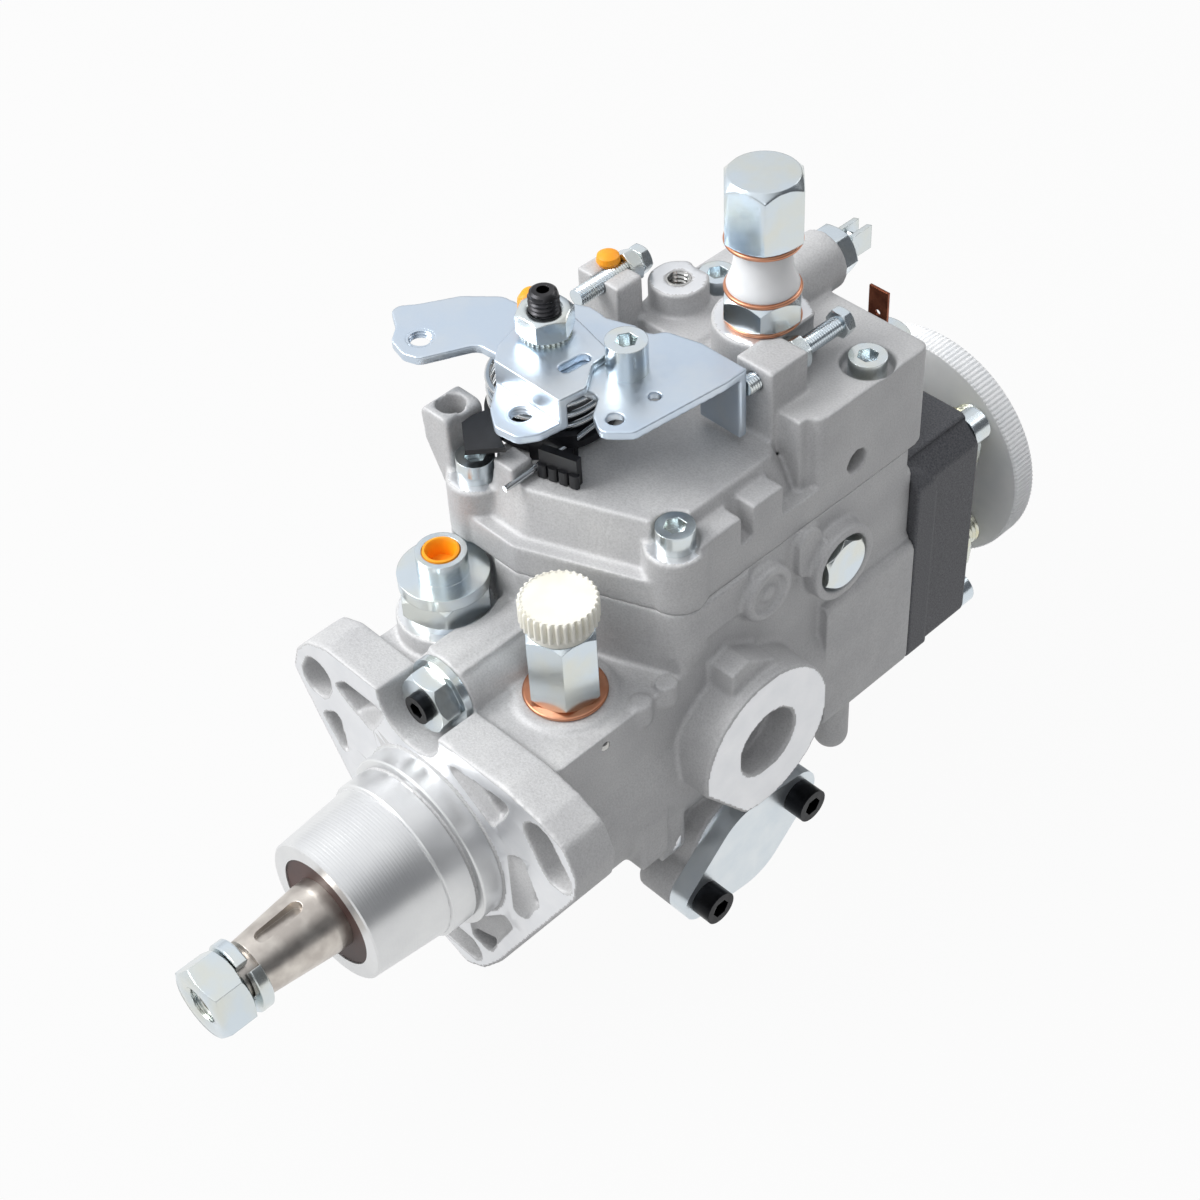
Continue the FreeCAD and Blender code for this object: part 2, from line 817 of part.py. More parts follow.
def governor_cover():
    solid = cover_outer()
    tools = [
        cover_inner(),
        rod(control_radius + 0.4, (control_x, control_y, parting_z - 1),
            (control_x, control_y, crank_z + 4.5)),
        rod(control_radius + running_gap, (control_x, control_y, parting_z),
            (control_x, control_y, control_boss_z + 1)),
        rod(return_thread, (return_x, return_y, dome_top_z - 8), (return_x, return_y, return_boss_z + 1)),
        rod(rear_tap_radius, (rear_tap_x, rear_tap_y, rear_tap_z - rear_tap_depth),
            (rear_tap_x, rear_tap_y, rear_tap_z + 1)),
        rod(adaptor_flats / 2 / math.cos(math.pi / 6) + free_gap, (return_x, return_y, return_boss_z),
            (return_x, return_y, post_top_z + 1)),
        rod(3.0, (full_load_x, cover_back_y - 40, full_load_z),
            (full_load_x, full_load_boss_y + 1, full_load_z)),
        rod(stop_screw_radius, (post_x, post_y - 30, stop_screw_z), (post_x, post_y + 20, stop_screw_z)),
        rod(stop_screw_radius, (left_post_x, left_post_y - 20, stop_screw_z + 3),
            (left_post_x, left_post_y + 20, stop_screw_z + 3)),
        rod(stop_nut_flats / 2 + 1, (post_x, post_y + post_depth / 2, stop_screw_z),
            (post_x, post_y + 40, stop_screw_z)),
        rod(side_tap_radius, (side_right - side_tap_depth, side_tap_y, side_tap_z),
            (side_right + 1, side_tap_y, side_tap_z)),
        rod(lug_hole, (lug_outer_x / 2 + lug_inner_x / 2, lug_y, lug_top_z - 12),
            (lug_outer_x / 2 + lug_inner_x / 2, lug_y, lug_top_z + 1)),
    ]
    for x, y in (front_right_screw, front_left_screw):
        tools.append(rod(screw_radius + 0.3, (x, y, parting_z - 1), (x, y, front_boss_z + 1)))
        tools.append(rod(screw_head_radius + 1, (x, y, front_boss_z), (x, y, lug_top_z + 1)))
    for x, y in (rear_right_screw, rear_left_screw):
        tools.append(rod(screw_radius + 0.3, (x, y, parting_z - 1), (x, y, rear_boss_z + 1)))
        tools.append(rod(screw_head_radius + 2, (x, y, rear_boss_z), (x, y, block_top_z + 20)))
    return solid.cut(tools)


def socket_screw(length, place, path, head_height=screw_head_height):
    """Socket head screw whose head seats at the place, its shank along the path."""
    way = Vector(*path).normalize()
    seat = Vector(*place)
    shank = rod(screw_radius - 0.02, seat - way * 0.5, seat + way * length)
    head = rod(screw_head_radius, seat - way * head_height, seat)
    socket = hexagon(socket_flats, seat - way * (head_height + 1), seat - way * (head_height - 3.2))
    return head.fuse(shank).cut(socket).removeSplitter()


def group(solids):
    return Part.makeCompound(solids)


def front_cover_screws():
    screws = []
    for x, y in (front_right_screw, front_left_screw):
        screws.append(socket_screw(short_screw, (x, y, front_boss_z), (0, 0, -1)))
    return group(screws)


def long_socket_screws():
    screws = []
    for x, y in (rear_right_screw, rear_left_screw):
        screws.append(socket_screw(long_screw, (x, y, rear_boss_z), (0, 0, -1)))
    for x, z in head_screw_places():
        screws.append(socket_screw(long_screw, (x, housing_back_y + head_length, z), (0, -1, 0)))
    return group(screws)


# Timing covers
def timing_cover(sign):
    """Lens-shaped plate over one end of the timing cylinder."""
    x = sign * timing_face_x
    depth = Vector(sign * timing_plate_thickness, 0, 0)
    angle = math.radians(timing_screw_tilt)
    along = Vector(0, math.cos(angle), math.sin(angle))
    across = Vector(0, -math.sin(angle), math.cos(angle))
    centre = Vector(x, timing_y, timing_z)
    span = timing_screw_reach
    slope = math.asin((timing_plate_half_width - timing_ear_radius) / span)
    edges = []
    corners = []
    for end in (1, -1):
        for half in (1, -1):
            out = along * (end * math.sin(slope)) + across * (half * end * math.cos(slope))
            corners.append(centre + along * (end * span) + out * timing_ear_radius)
            corners.append(centre + out * timing_plate_half_width)
    tip_right = centre + along * (span + timing_ear_radius)
    tip_left = centre - along * (span + timing_ear_radius)
    belly_top = centre + across * timing_plate_half_width
    belly_low = centre - across * timing_plate_half_width
    edges.append(Part.Arc(corners[0], tip_right, corners[2]).toShape())
    edges.append(Part.LineSegment(corners[2], corners[3]).toShape())
    edges.append(Part.Arc(corners[3], belly_low, corners[5]).toShape())
    edges.append(Part.LineSegment(corners[5], corners[4]).toShape())
    edges.append(Part.Arc(corners[4], tip_left, corners[6]).toShape())
    edges.append(Part.LineSegment(corners[6], corners[7]).toShape())
    edges.append(Part.Arc(corners[7], belly_top, corners[1]).toShape())
    edges.append(Part.LineSegment(corners[1], corners[0]).toShape())
    plate = Part.Face(Part.Wire(edges)).extrude(depth)
    for reach in (-span, span):
        hole_a = timing_axis_point(reach, x - sign)
        hole_b = timing_axis_point(reach, x + sign * (timing_plate_thickness + 1))
        plate = plate.cut(rod(screw_radius + 0.3, hole_a, hole_b))
    return plate


def timing_covers():
    return group([timing_cover(1), timing_cover(-1)])


def timing_cover_screws():
    screws = []
    for sign in (1, -1):
        for reach in (-timing_screw_reach, timing_screw_reach):
            seat = timing_axis_point(reach, sign * (timing_face_x + timing_plate_thickness))
            screws.append(socket_screw(timing_screw + 4, seat, (-sign, 0, 0)))
    return group(screws)


def timing_piston():
    half = piston_length / 2
    start = -half - piston_travel / 2
    body = rod(timing_bore - running_gap, (start, timing_y, timing_z),
               (start + piston_length, timing_y, timing_z))
    top = block((-advance_pin_radius - 4, timing_y - advance_pin_radius - 0.4, timing_z),
                (advance_pin_radius + 4, timing_y + advance_pin_radius + 0.4, 0))
    hole = rod(advance_ball_radius + free_gap, (0, timing_y, timing_z - 6), (0, timing_y, 0))
    pocket = rod(timing_bore - 3, (start + piston_length - 10, timing_y, timing_z),
                 (start + piston_length + 1, timing_y, timing_z))
    return body.cut([top, hole, pocket])


def timing_spring():
    end = timing_face_x
    start = piston_length / 2 - piston_travel / 2 - 10 + piston_travel + free_gap
    return spring(timing_bore - 5, 1.1, 5, (start, timing_y, timing_z), (end - start, 0, 0))


# Drive shaft group
def drive_shaft():
    parts = [
        rod(shaft_thread_radius, (0, shaft_front_y, 0), (0, taper_front_y + 1, 0)),
        taper(taper_small_radius, shaft_radius, (0, taper_front_y, 0), (0, taper_back_y, 0)),
        rod(shaft_radius, (0, taper_back_y, 0), (0, coupling_front_y + 1, 0)),
        rod(coupling_radius, (0, coupling_front_y, 0), (0, shaft_back_y, 0)),
    ]
    for sign in (-1, 1):
        half = claw_width / 2
        near = sorted((sign * claw_inner, sign * (coupling_radius - 1)))
        parts.append(block((near[0], shaft_back_y - 1, -half),
                           (near[1], shaft_back_y + claw_length, half)))
    shaft = join(parts)
    middle = (taper_front_y + taper_back_y) / 2
    mean_radius = (taper_small_radius + shaft_radius) / 2
    key = slot(keyway_width, keyway_length, (0, middle, mean_radius - keyway_depth), (0, 1, 0),
               (0, 0, 6))
    return shaft.cut(key)


def lock_washer():
    start = shaft_nut_back_y()
    end = start + lock_washer_height
    washer = ring(lock_washer_radius, lock_washer_bore, (0, start, 0), (0, end, 0))
    slit = block((0, start - 1, -lock_washer_slit / 2),
                 (lock_washer_radius + 1, end + 1, lock_washer_slit / 2))
    return washer.cut(turned_y(slit, 60))


def shaft_nut_back_y():
    return taper_front_y - lock_washer_height - 0.5


def shaft_nut():
    back = shaft_nut_back_y()
    body = nut(shaft_nut_flats, (0, back - shaft_nut_height, 0), (0, back, 0), 12)
    return body.cut(rod(shaft_thread_radius + 0.02, (0, back - 20, 0), (0, back + 1, 0)))


def shaft_seal():
    end = snout_front_y + seal_depth
    return ring(seal_radius - 0.02, shaft_radius + running_gap, (0, snout_front_y + 0.4, 0), (0, end, 0))


def shaft_bushes():
    front_start = snout_front_y + seal_depth + 1
    outer = bush_bore - 0.02
    inner = shaft_radius + running_gap
    front_bush = ring(outer, inner, (0, front_start, 0), (0, front_start + bush_length, 0))
    rear_bush = ring(outer, inner, (0, cavity_front_y - rear_bush_length, 0), (0, cavity_front_y, 0))
    return group([front_bush, rear_bush])


# Supply pump
def supply_back_y():
    return cavity_front_y + supply_width


def supply_cover_back_y():
    return supply_back_y() + supply_cover_thickness


def eccentric_ring():
    body = rod(eccentric_outer, (0, cavity_front_y + flat_gap, 0), (0, supply_back_y(), 0))
    hole = rod(eccentric_inner, (0, cavity_front_y - 1, eccentric_offset),
               (0, supply_back_y() + 1, eccentric_offset))
    return body.cut(hole)


def supply_rotor():
    body = ring(rotor_radius, shaft_radius + 0.02, (0, cavity_front_y + 2 * flat_gap, 0),
                (0, supply_back_y() - flat_gap, 0))
    for i in range(vane_count):
        body = body.cut(turned_y(vane_shape(flat_gap), 360 * i / vane_count + 45))
    return body


def vane_shape(grow=0.0):
    half = vane_thickness / 2 + grow
    outer = rotor_radius if grow == 0 else rotor_radius + 1
    return block((rotor_radius - vane_depth - grow, cavity_front_y + 2 * flat_gap, -half),
                 (outer, supply_back_y() - flat_gap, half))


def supply_vanes():
    vanes = []
    for i in range(vane_count):
        vanes.append(turned_y(vane_shape(), 360 * i / vane_count + 45))
    return group(vanes)


def supply_pump_cover():
    start = supply_back_y()
    body = ring(eccentric_outer, shaft_radius + free_gap, (0, start, 0),
                (0, start + supply_cover_thickness, 0))
    return body


# Gears
def gear_distance():
    return math.hypot(governor_x, governor_z)


def gear_module():
    return 2 * gear_distance() / (drive_teeth + governor_teeth)


def gear(teeth, y, width, x, z, phase, bore):
    """Spur gear about an axis along Y, with straight-sided teeth narrowed for clearance."""
    module = gear_module()
    pitch = module * teeth / 2
    root = pitch - 1.2 * module
    tip = pitch + 0.85 * module
    body = rod(root, (x, y, z), (x, y + width, z))
    half_root = 0.30 * math.pi * module
    half_tip = 0.13 * math.pi * module
    solids = [body]
    for i in range(teeth):
        angle = 360.0 * i / teeth + phase
        corners = [
            (root - 1, half_root), (tip, half_tip), (tip, -half_tip), (root - 1, -half_root),
        ]
        points = [Vector(x + r, y, z + t) for r, t in corners]
        face = Part.Face(Part.makePolygon(points + [points[0]]))
        solids.append(turned_y(face.extrude(Vector(0, width, 0)), angle, x, z))
    body = solids[0].fuse(solids[1:]).removeSplitter()
    return body.cut(rod(bore, (x, y - 1, z), (x, y + width + 1, z)))


def mesh_angle():
    return math.degrees(math.atan2(governor_z, governor_x))


def drive_gear():
    return gear(drive_teeth, gear_front_y, gear_width, 0, 0, mesh_angle(), shaft_radius + 0.02)


def carrier_front_y():
    return gear_front_y + gear_width


def governor_carrier():
    """Gear and cup in one piece, with four windows for the flyweights."""
    x = governor_x
    z = governor_z
    start = carrier_front_y() + free_gap
    bore = governor_shaft_radius + running_gap
    phase = mesh_angle() + 180 + 180.0 / governor_teeth
    wheel = gear(governor_teeth, gear_front_y, gear_width, x, z, phase, bore)
    cup = rod(carrier_radius, (x, start, z), (x, carrier_back_y, z))
    room = rod(carrier_radius - 1.4, (x, start + cup_floor, z), (x, carrier_back_y + 1, z))
    hub = rod(bore + 3, (x, gear_front_y + 1, z), (x, start + 1, z))
    body = cup.cut(room).fuse(hub).fuse(wheel)
    body = body.cut(rod(bore, (x, gear_front_y - 1, z), (x, carrier_back_y + 1, z)))
    for i in range(weight_count):
        low = carrier_radius - 6
        window = block((x + low, start + 5, z - weight_width / 2 - 1),
                       (x + carrier_radius + 1, carrier_back_y + 1, z + weight_width / 2 + 1))
        body = body.cut(turned_y(window, 360.0 * i / weight_count + 45, x, z))
    ears = []
    for i in range(weight_count):
        for sign in (-1, 1):
            side_z = z + sign * (weight_width / 2 + free_gap + 1.0)
            ear = block((x + weight_pivot_radius - 1.5, start + 1, side_z - 1.0),
                        (x + carrier_radius - 1.0, carrier_back_y, side_z + 1.0))
            ears.append(turned_y(ear, 360.0 * i / weight_count + 45, x, z))
    return body.fuse(ears).removeSplitter()


def weight_front_y():
    return carrier_front_y() + free_gap + cup_floor + 2 * flat_gap


def flyweight(index):
    """Weight that tips about its outer front edge, with a toe that reaches in to the sleeve."""
    x = governor_x
    z = governor_z
    half = weight_width / 2
    mass = block((x + weight_inner, weight_front_y(), z - half),
                 (x + weight_pivot_radius, carrier_back_y - weight_set_back, z + half))
    toe = block((x + toe_inner, weight_front_y(), z - toe_half_width),
                (x + weight_inner + 1, weight_front_y() + toe_thickness, z + toe_half_width))
    return turned_y(mass.fuse(toe).removeSplitter(), 360.0 * index / weight_count + 45, x, z)


def governor_shaft():
    body = rod(governor_shaft_radius, (governor_x, governor_shaft_front_y, governor_z),
               (governor_x, governor_shaft_back_y, governor_z))
    socket = hexagon(4, (governor_x, governor_shaft_front_y - 1, governor_z),
                     (governor_x, governor_shaft_front_y + 4, governor_z))
    return body.cut(socket)


def governor_shaft_locknut():
    hole = rod(governor_shaft_radius + 0.02, (governor_x, -5, governor_z),
               (governor_x, flange_thickness + 1, governor_z))
    body = nut(governor_nut_flats + 2, (governor_x, governor_nut_y, governor_z),
               (governor_x, flange_thickness - 2, governor_z))
    washer = rod(governor_nut_radius, (governor_x, flange_thickness - 2.2, governor_z),
                 (governor_x, flange_thickness, governor_z))
    return body.fuse(washer).cut(hole).removeSplitter()


def governor_sleeve():
    """Sleeve with a closed end and a small conical nose that pushes the governor lever."""
    x = governor_x
    z = governor_z
    start = weight_front_y() + toe_thickness + free_gap
    end = sleeve_back_y - sleeve_nose_length
    tube = ring(sleeve_radius, governor_shaft_radius + running_gap, (x, start, z), (x, end, z))
    wall = rod(governor_shaft_radius + 1, (x, end - sleeve_end_wall, z), (x, end, z))
    nose = taper(sleeve_nose_radius, sleeve_nose_tip, (x, end, z), (x, sleeve_back_y, z))
    return join([tube, wall, nose])


# Coupling, roller ring and cam
def cross_coupling():
    start = shaft_back_y + 2
    body = ring(coupling_radius, claw_inner - 2, (0, start, 0), (0, start + 9, 0))
    for i in range(4):
        half = claw_width / 2 + flat_gap
        gap = block((claw_inner - flat_gap, start - 1, -half), (coupling_radius + 1, start + 10, half))
        body = body.cut(turned_y(gap, 90 * i))
    return body


def cam_face_y():
    return cam_back_y - cam_thickness


def cam_plate():
    parts = [rod(cam_radius, (0, cam_face_y(), 0), (0, cam_back_y, 0))]
    for i in range(roller_count):
        crest = wedge_lobe()
        parts.append(turned_y(crest, 360.0 * i / roller_count + 45))
    half = claw_width / 2
    for sign in (-1, 1):
        near = sorted((sign * claw_inner, sign * (coupling_radius - 1)))
        parts.append(block((-half, shaft_back_y + 3, near[0]), (half, cam_face_y() + 1, near[1])))
    return join(parts)


def wedge_lobe():
    """One face lobe: a rise, a flat crest and a fall across the cam track."""
    low = cam_face_y() + 0.5
    high = cam_face_y() - cam_lift
    points = [(-9, low), (-3, high), (3, high), (9, low)]
    corners = [Vector(ring_inner + 2.0, y, z) for z, y in points]
    face = Part.Face(Part.makePolygon(corners + [corners[0]]))
    return face.extrude(Vector(cam_radius - ring_inner - 3, 0, 0))


def roller_pose(radius, start, end, degrees):
    shape = rod(radius, (start, roller_y, 0), (end, roller_y, 0))
    return turned_y(shape, degrees)


def roller_start():
    return ring_inner + 1.8


def rollers():
    solids = []
    for i in range(roller_count):
        degrees = 360.0 * i / roller_count + 45
        start = roller_start()
        solids.append(roller_pose(roller_radius, start, start + roller_length, degrees))
    return group(solids)


def roller_ring():
    body = ring(cam_bore_radius - running_gap, ring_inner, (0, ring_front_y, 0), (0, ring_back_y, 0))
    for i in range(roller_count):
        degrees = 360.0 * i / roller_count + 45
        start = roller_start() - flat_gap
        pocket = roller_pose(roller_radius + running_gap, start,
                             start + roller_length + 2 * flat_gap, degrees)
        body = body.cut(pocket)
    pin = rod(advance_pin_radius, (0, timing_y, -ring_inner - 2), (0, timing_y, timing_z + 1))
    ball = Part.makeSphere(advance_ball_radius, Vector(0, timing_y, timing_z))
    return body.fuse([pin, ball]).removeSplitter()


def plunger():
    stem = rod(plunger_radius, (0, cam_back_y, 0), (0, plunger_back_y, 0))
    foot = rod(plunger_radius + 3, (0, cam_back_y, 0), (0, cam_back_y + 1.2, 0))
    return stem.fuse(foot).removeSplitter()


def bridge_front_y():
    return cam_back_y + 1.2 + flat_gap


def spring_bridge():
    start = bridge_front_y()
    half = plunger_spring_x
    tall = plunger_spring_radius + 2
    body = slot(2 * tall, 2 * (half + 5), (0, start, 0), (1, 0, 0), (0, bridge_thickness, 0))
    return body.cut(rod(plunger_radius + free_gap, (0, start - 1, 0), (0, start + 5, 0)))


def plunger_springs():
    start = bridge_front_y() + bridge_thickness
    springs = []
    for sign in (-1, 1):
        springs.append(spring(plunger_spring_radius, spring_wire / 2 + 0.2, 9,
                              (sign * plunger_spring_x, start, 0), (0, housing_back_y - start, 0)))
    return group(springs)


def control_spool():
    start = spool_front_y
    body = ring(spool_radius, plunger_radius + running_gap, (0, start, 0), (0, start + spool_length, 0))
    middle = start + spool_length / 2
    groove = ring(spool_radius + 1, spool_radius - 3, (0, middle - 2.4, 0), (0, middle + 2.4, 0))
    return body.cut(groove)


# Governor levers
def lever_foot_y():
    return spool_front_y + spool_length / 2


def governor_lever():
    """Bent lever: foot in the spool's groove, pivot, pad for the sleeve, arm for the spring."""
    pad_y = sleeve_back_y + free_gap
    points = [
        (lever_foot_y() - 1.5, spool_radius + 2), (lever_foot_y() + 1.5, spool_radius + 2),
        (lever_pivot_y + 3.4, lever_pivot_z - 1), (lever_pivot_y + 2, lever_pivot_z + 4),
        (pad_y + 4, lever_pivot_z + 13), (pad_y + 3, crank_z + 5),
        (pad_y, crank_z + 5), (pad_y, governor_z - 7),
        (lever_pivot_y - 4, lever_pivot_z),
    ]
    body = outline_solid(side(points, -4), 1, (8, 0, 0))
    pad = block((governor_x - 6, pad_y, governor_z - 5), (4, pad_y + 3, governor_z + 5))
    arm = block((spring_line_x() - 4, pad_y, crank_z - 5), (4, pad_y + 3, crank_z + 5))
    foot = rod(1.6, (0, lever_foot_y(), spool_radius + 4), (0, lever_foot_y(), spool_radius - 1.5))
    pivot = rod(lever_pin_radius + running_gap, (-guide_outer, lever_pivot_y, lever_pivot_z),
                (guide_outer, lever_pivot_y, lever_pivot_z))
    return join([body, pad, arm, foot]).cut(pivot)


def guide_lever():
    """Yoke that hangs on the two pivot bolts and carries the governor lever's pin."""
    y = lever_pivot_y
    half = lever_half_width
    back_y = y + half
    solids = [rod(lever_pin_radius, (-guide_outer, y, lever_pivot_z), (guide_outer, y, lever_pivot_z))]
    for sign in (-1, 1):
        near = sorted((sign * guide_inner, sign * guide_outer))
        solids.append(block((near[0], y - half, lever_pivot_z - half), (near[1], back_y, guide_arm_z)))
        far = sorted((sign * guide_inner, sign * pivot_pin_end_x))
        solids.append(block((far[0], back_y - guide_thickness, guide_low_z),
                            (far[1], back_y, guide_top_z)))
        cheek = sorted((sign * (pivot_pin_end_x - guide_cheek), sign * pivot_pin_end_x))
        solids.append(block((cheek[0], y - half - 1, guide_low_z + 2), (cheek[1], back_y, guide_top_z)))
    body = join(solids)
    return body.cut(rod(pivot_pin_radius + running_gap, (side_left, y, pivot_bolt_z),
                        (side_right, y, pivot_bolt_z)))


def lever_pivot_bolts():
    bolts = []
    for sign in (-1, 1):
        face = side_left - 4 if sign < 0 else side_right + 5
        seat = face - sign * 4
        y = lever_pivot_y
        z = pivot_bolt_z
        inner = pivot_pin_end_x
        head = nut(pivot_bolt_flats, (seat, y, z), (seat + sign * 4.5, y, z), 30)
        shank = rod(pivot_thread_radius - 0.1, (seat + sign, y, z), (sign * (inner + 1), y, z))
        pin = rod(pivot_pin_radius, (sign * (inner + 2), y, z), (sign * (inner - 4), y, z))
        bolts.append(join([head, shank, pin]))
    return group(bolts)


def spring_line_x():
    return control_x + crank_pin_x


def governor_spring():
    start = control_y + crank_pin_y + crank_pin_radius + free_gap
    end = sleeve_back_y + free_gap
    return spring(4.0, 0.7, 7, (spring_line_x(), start, crank_z), (0, end - start, 0))


# Distributor head and fittings behind
def distributor_head():
    c = head_chamfer
    w = rear_block_side
    points = [
        (-w, head_low_z + c), (-w + c, head_low_z), (w - c, head_low_z), (w, head_low_z + c),
        (w, head_high_z - c), (w - c, head_high_z), (-w + c, head_high_z), (-w, head_high_z - c),
    ]
    body = outline_solid(front(points, housing_back_y), 2, (0, head_length, 0))
    spigot = rod(spring_room_radius - running_gap, (0, housing_back_y - 3, 0), (0, housing_back_y + 1, 0))
    spring_room = []
    for sign in (-1, 1):
        x = sign * plunger_spring_x
        spring_room.append(rod(plunger_spring_radius + 1.5, (x, housing_back_y - 4, 0),
                               (x, housing_back_y, 0)))
    barrel = rod(barrel_outer - 4, (0, barrel_front_y, 0), (0, housing_back_y + 1, 0))
    body = join([body, spigot.cut(spring_room), barrel])
    pins = []
    for sign in (-1, 1):
        x = sign * plunger_spring_x
        pins.append(rod(2.4, (x, barrel_front_y + 8, 0), (x, housing_back_y + 1, 0)))
    body = body.fuse(pins)
    tools = [rod(plunger_radius + running_gap, (0, barrel_front_y - 1, 0), (0, plunger_back_y + 1, 0))]
    for x, z in head_screw_places():
        tools.append(rod(screw_radius + 0.3, (x, housing_back_y - 1, z),
                         (x, housing_back_y + head_length + 1, z)))
    for x, z in valve_places():
        tools.append(rod(valve_tip_radius, (x, head_back_y() - 10, z), (x, head_back_y() + 1, z)))
    tools.append(rod(solenoid_thread_radius + 0.02, (solenoid_x, solenoid_y(), head_high_z - 8),
                     (solenoid_x, solenoid_y(), head_high_z + 1)))
    return body.cut(tools).removeSplitter()


def head_back_y():
    return housing_back_y + head_length


def valve_places():
    places = []
    for x in (-valve_x, valve_x):
        for z in (-valve_spread_z, valve_spread_z):
            places.append((x, valve_centre_z + z))
    return places


def delivery_valve_holders():
    holders = []
    start = head_back_y()
    for x, z in valve_places():
        thread = rod(valve_tip_radius - 0.02, (x, start - 9, z), (x, start + 1, z))
        body = nut(valve_flats, (x, start, z), (x, start + 12, z), 30)
        tip = rod(valve_tip_radius, (x, start + 11, z), (x, start + valve_length, z))
        bore = taper(3.0, 1.0, (x, start + valve_length + 0.01, z), (x, start + valve_length - 6, z))
        holders.append(join([thread, body, tip]).cut(bore))
    return group(holders)


def transport_cap():
    """Disc pushed onto the tips of the four delivery valve holders."""
    z = valve_centre_z
    back_y = head_back_y() + transport_cap_reach
    front_y = back_y - transport_cap_thickness
    body = rod(transport_cap_radius, (0, front_y, z), (0, back_y, z))
    tools = []
    for x, hole_z in valve_places():
        tools.append(rod(valve_tip_radius + flat_gap, (x, front_y - 1, hole_z),
                         (x, head_back_y() + valve_length + flat_gap, hole_z)))
    return body.cut(tools)


def solenoid_y():
    return housing_back_y + solenoid_set_back


def stop_solenoid():
    """Threaded foot, hexagon, can and the spade terminal, which is a solid of its own."""
    x = solenoid_x
    y = solenoid_y()
    base = head_high_z
    top = base + solenoid_height
    foot = rod(solenoid_thread_radius, (x, y, base - 7), (x, y, base + 1))
    flats = nut(solenoid_flats, (x, y, base), (x, y, base + 8))
    can = rod(solenoid_radius, (x, y, base + 7), (x, y, top))
    post_rod = rod(2.5, (x, y, top - 1), (x, y, top + spade_foot))
    spade_z = top + spade_foot
    spade = block((x - 3.2, y - 0.4, spade_z), (x + 3.2, y + 0.4, spade_z + spade_length))
    hole = rod(0.9, (x, y - 2, spade_z + 5), (x, y + 2, spade_z + 5))
    return group([join([foot, flats, can, post_rod]), spade.cut(hole)])


# Fittings on top
def pressure_regulator():
    x = regulator_x
    y = regulator_y
    base = regulator_boss_z
    foot = rod(7.98, (x, y, base - 13), (x, y, base + 1))
    skirt = rod(10.4, (x, y, base), (x, y, base + 3))
    hexa = nut(regulator_flats, (x, y, base + 2.5), (x, y, base + 10), 20)
    collar = rod(11.8, (x, y, base + 9.5), (x, y, base + 13))
    neck = rod(6.6, (x, y, base + 12), (x, y, base + 19.5))
    recess = rod(5.0, (x, y, base + 13), (x, y, base + 21))
    return join([foot, skirt, hexa, collar, neck]).cut(recess)


def inlet_washer_z():
    return shelf_z + 1


def inlet_union():
    x = inlet_x
    y = inlet_y
    base = inlet_washer_z() + washer_thickness
    thread = rod(6.48, (x, y, base - 7.5), (x, y, base + 1))
    hexa = nut(inlet_flats, (x, y, base), (x, y, base + inlet_height), 18)
    neck = rod(6.0, (x, y, base + inlet_height - 1), (x, y, base + inlet_height + 7))
    bore = rod(3.5, (x, y, base - 13), (x, y, base + inlet_height + 8))
    return join([thread, hexa, neck]).cut(bore)


def inlet_cap():
    x = inlet_x
    y = inlet_y
    base = inlet_washer_z() + washer_thickness + inlet_height
    body = rod(inlet_cap_radius, (x, y, base + 2.5), (x, y, base + inlet_cap_height))
    skirt = rod(inlet_cap_radius - 1.5, (x, y, base), (x, y, base + 3))
    hole = rod(6.0 + running_gap, (x, y, base - 1), (x, y, base + 7.2))
    return body.fuse(skirt).cut(hole).removeSplitter()


def return_stack_z():
    """Heights of the return stack, from the boss up."""
    low_washer = return_boss_z
    adaptor = low_washer + washer_thickness
    middle_washer = adaptor + adaptor_height
    sleeve = middle_washer + washer_thickness
    top_washer = sleeve + sleeve_height
    cap = top_washer + washer_thickness
    return low_washer, adaptor, middle_washer, sleeve, top_washer, cap


def return_adaptor():
    z = return_stack_z()
    x = return_x
    y = return_y
    thread = rod(return_thread - 0.02, (x, y, z[1] - 10), (x, y, z[1] + 1))
    hexa = nut(adaptor_flats, (x, y, z[1]), (x, y, z[2]), 10)
    neck = rod(5.0, (x, y, z[2] - 1), (x, y, z[5] + 8))
    return join([thread, hexa, neck]).cut(rod(2.2, (x, y, z[1] - 11), (x, y, z[5] + 9)))


def return_sleeve():
    z = return_stack_z()
    return ring(sleeve_outer, 5.0 + flat_gap, (return_x, return_y, z[3]), (return_x, return_y, z[4]))


def return_cap_nut():
    z = return_stack_z()
    body = nut(cap_nut_flats, (return_x, return_y, z[5]), (return_x, return_y, z[5] + cap_nut_height), 14)
    return body.cut(rod(5.02, (return_x, return_y, z[5] - 1), (return_x, return_y, z[5] + 9)))


def copper_washers():
    z = return_stack_z()
    washers = []
    for level in (z[0], z[2], z[4]):
        washers.append(ring(9.8, return_thread + flat_gap, (return_x, return_y, level),
                            (return_x, return_y, level + washer_thickness)))
    low = inlet_washer_z()
    washers.append(ring(10.8, 6.5 + flat_gap, (inlet_x, inlet_y, low),
                        (inlet_x, inlet_y, low + washer_thickness)))
    return group(washers)


def stop_screw_places():
    """Front tip and back end of each stop screw."""
    right_tip = lever_flange_y + free_gap
    right = ((post_x, right_tip, stop_screw_z), (post_x, post_y + 27, stop_screw_z))
    z = stop_screw_z + 3
    left = ((left_post_x, left_post_y - 9, z), (left_post_x, left_post_y + 15, z))
    return right, left


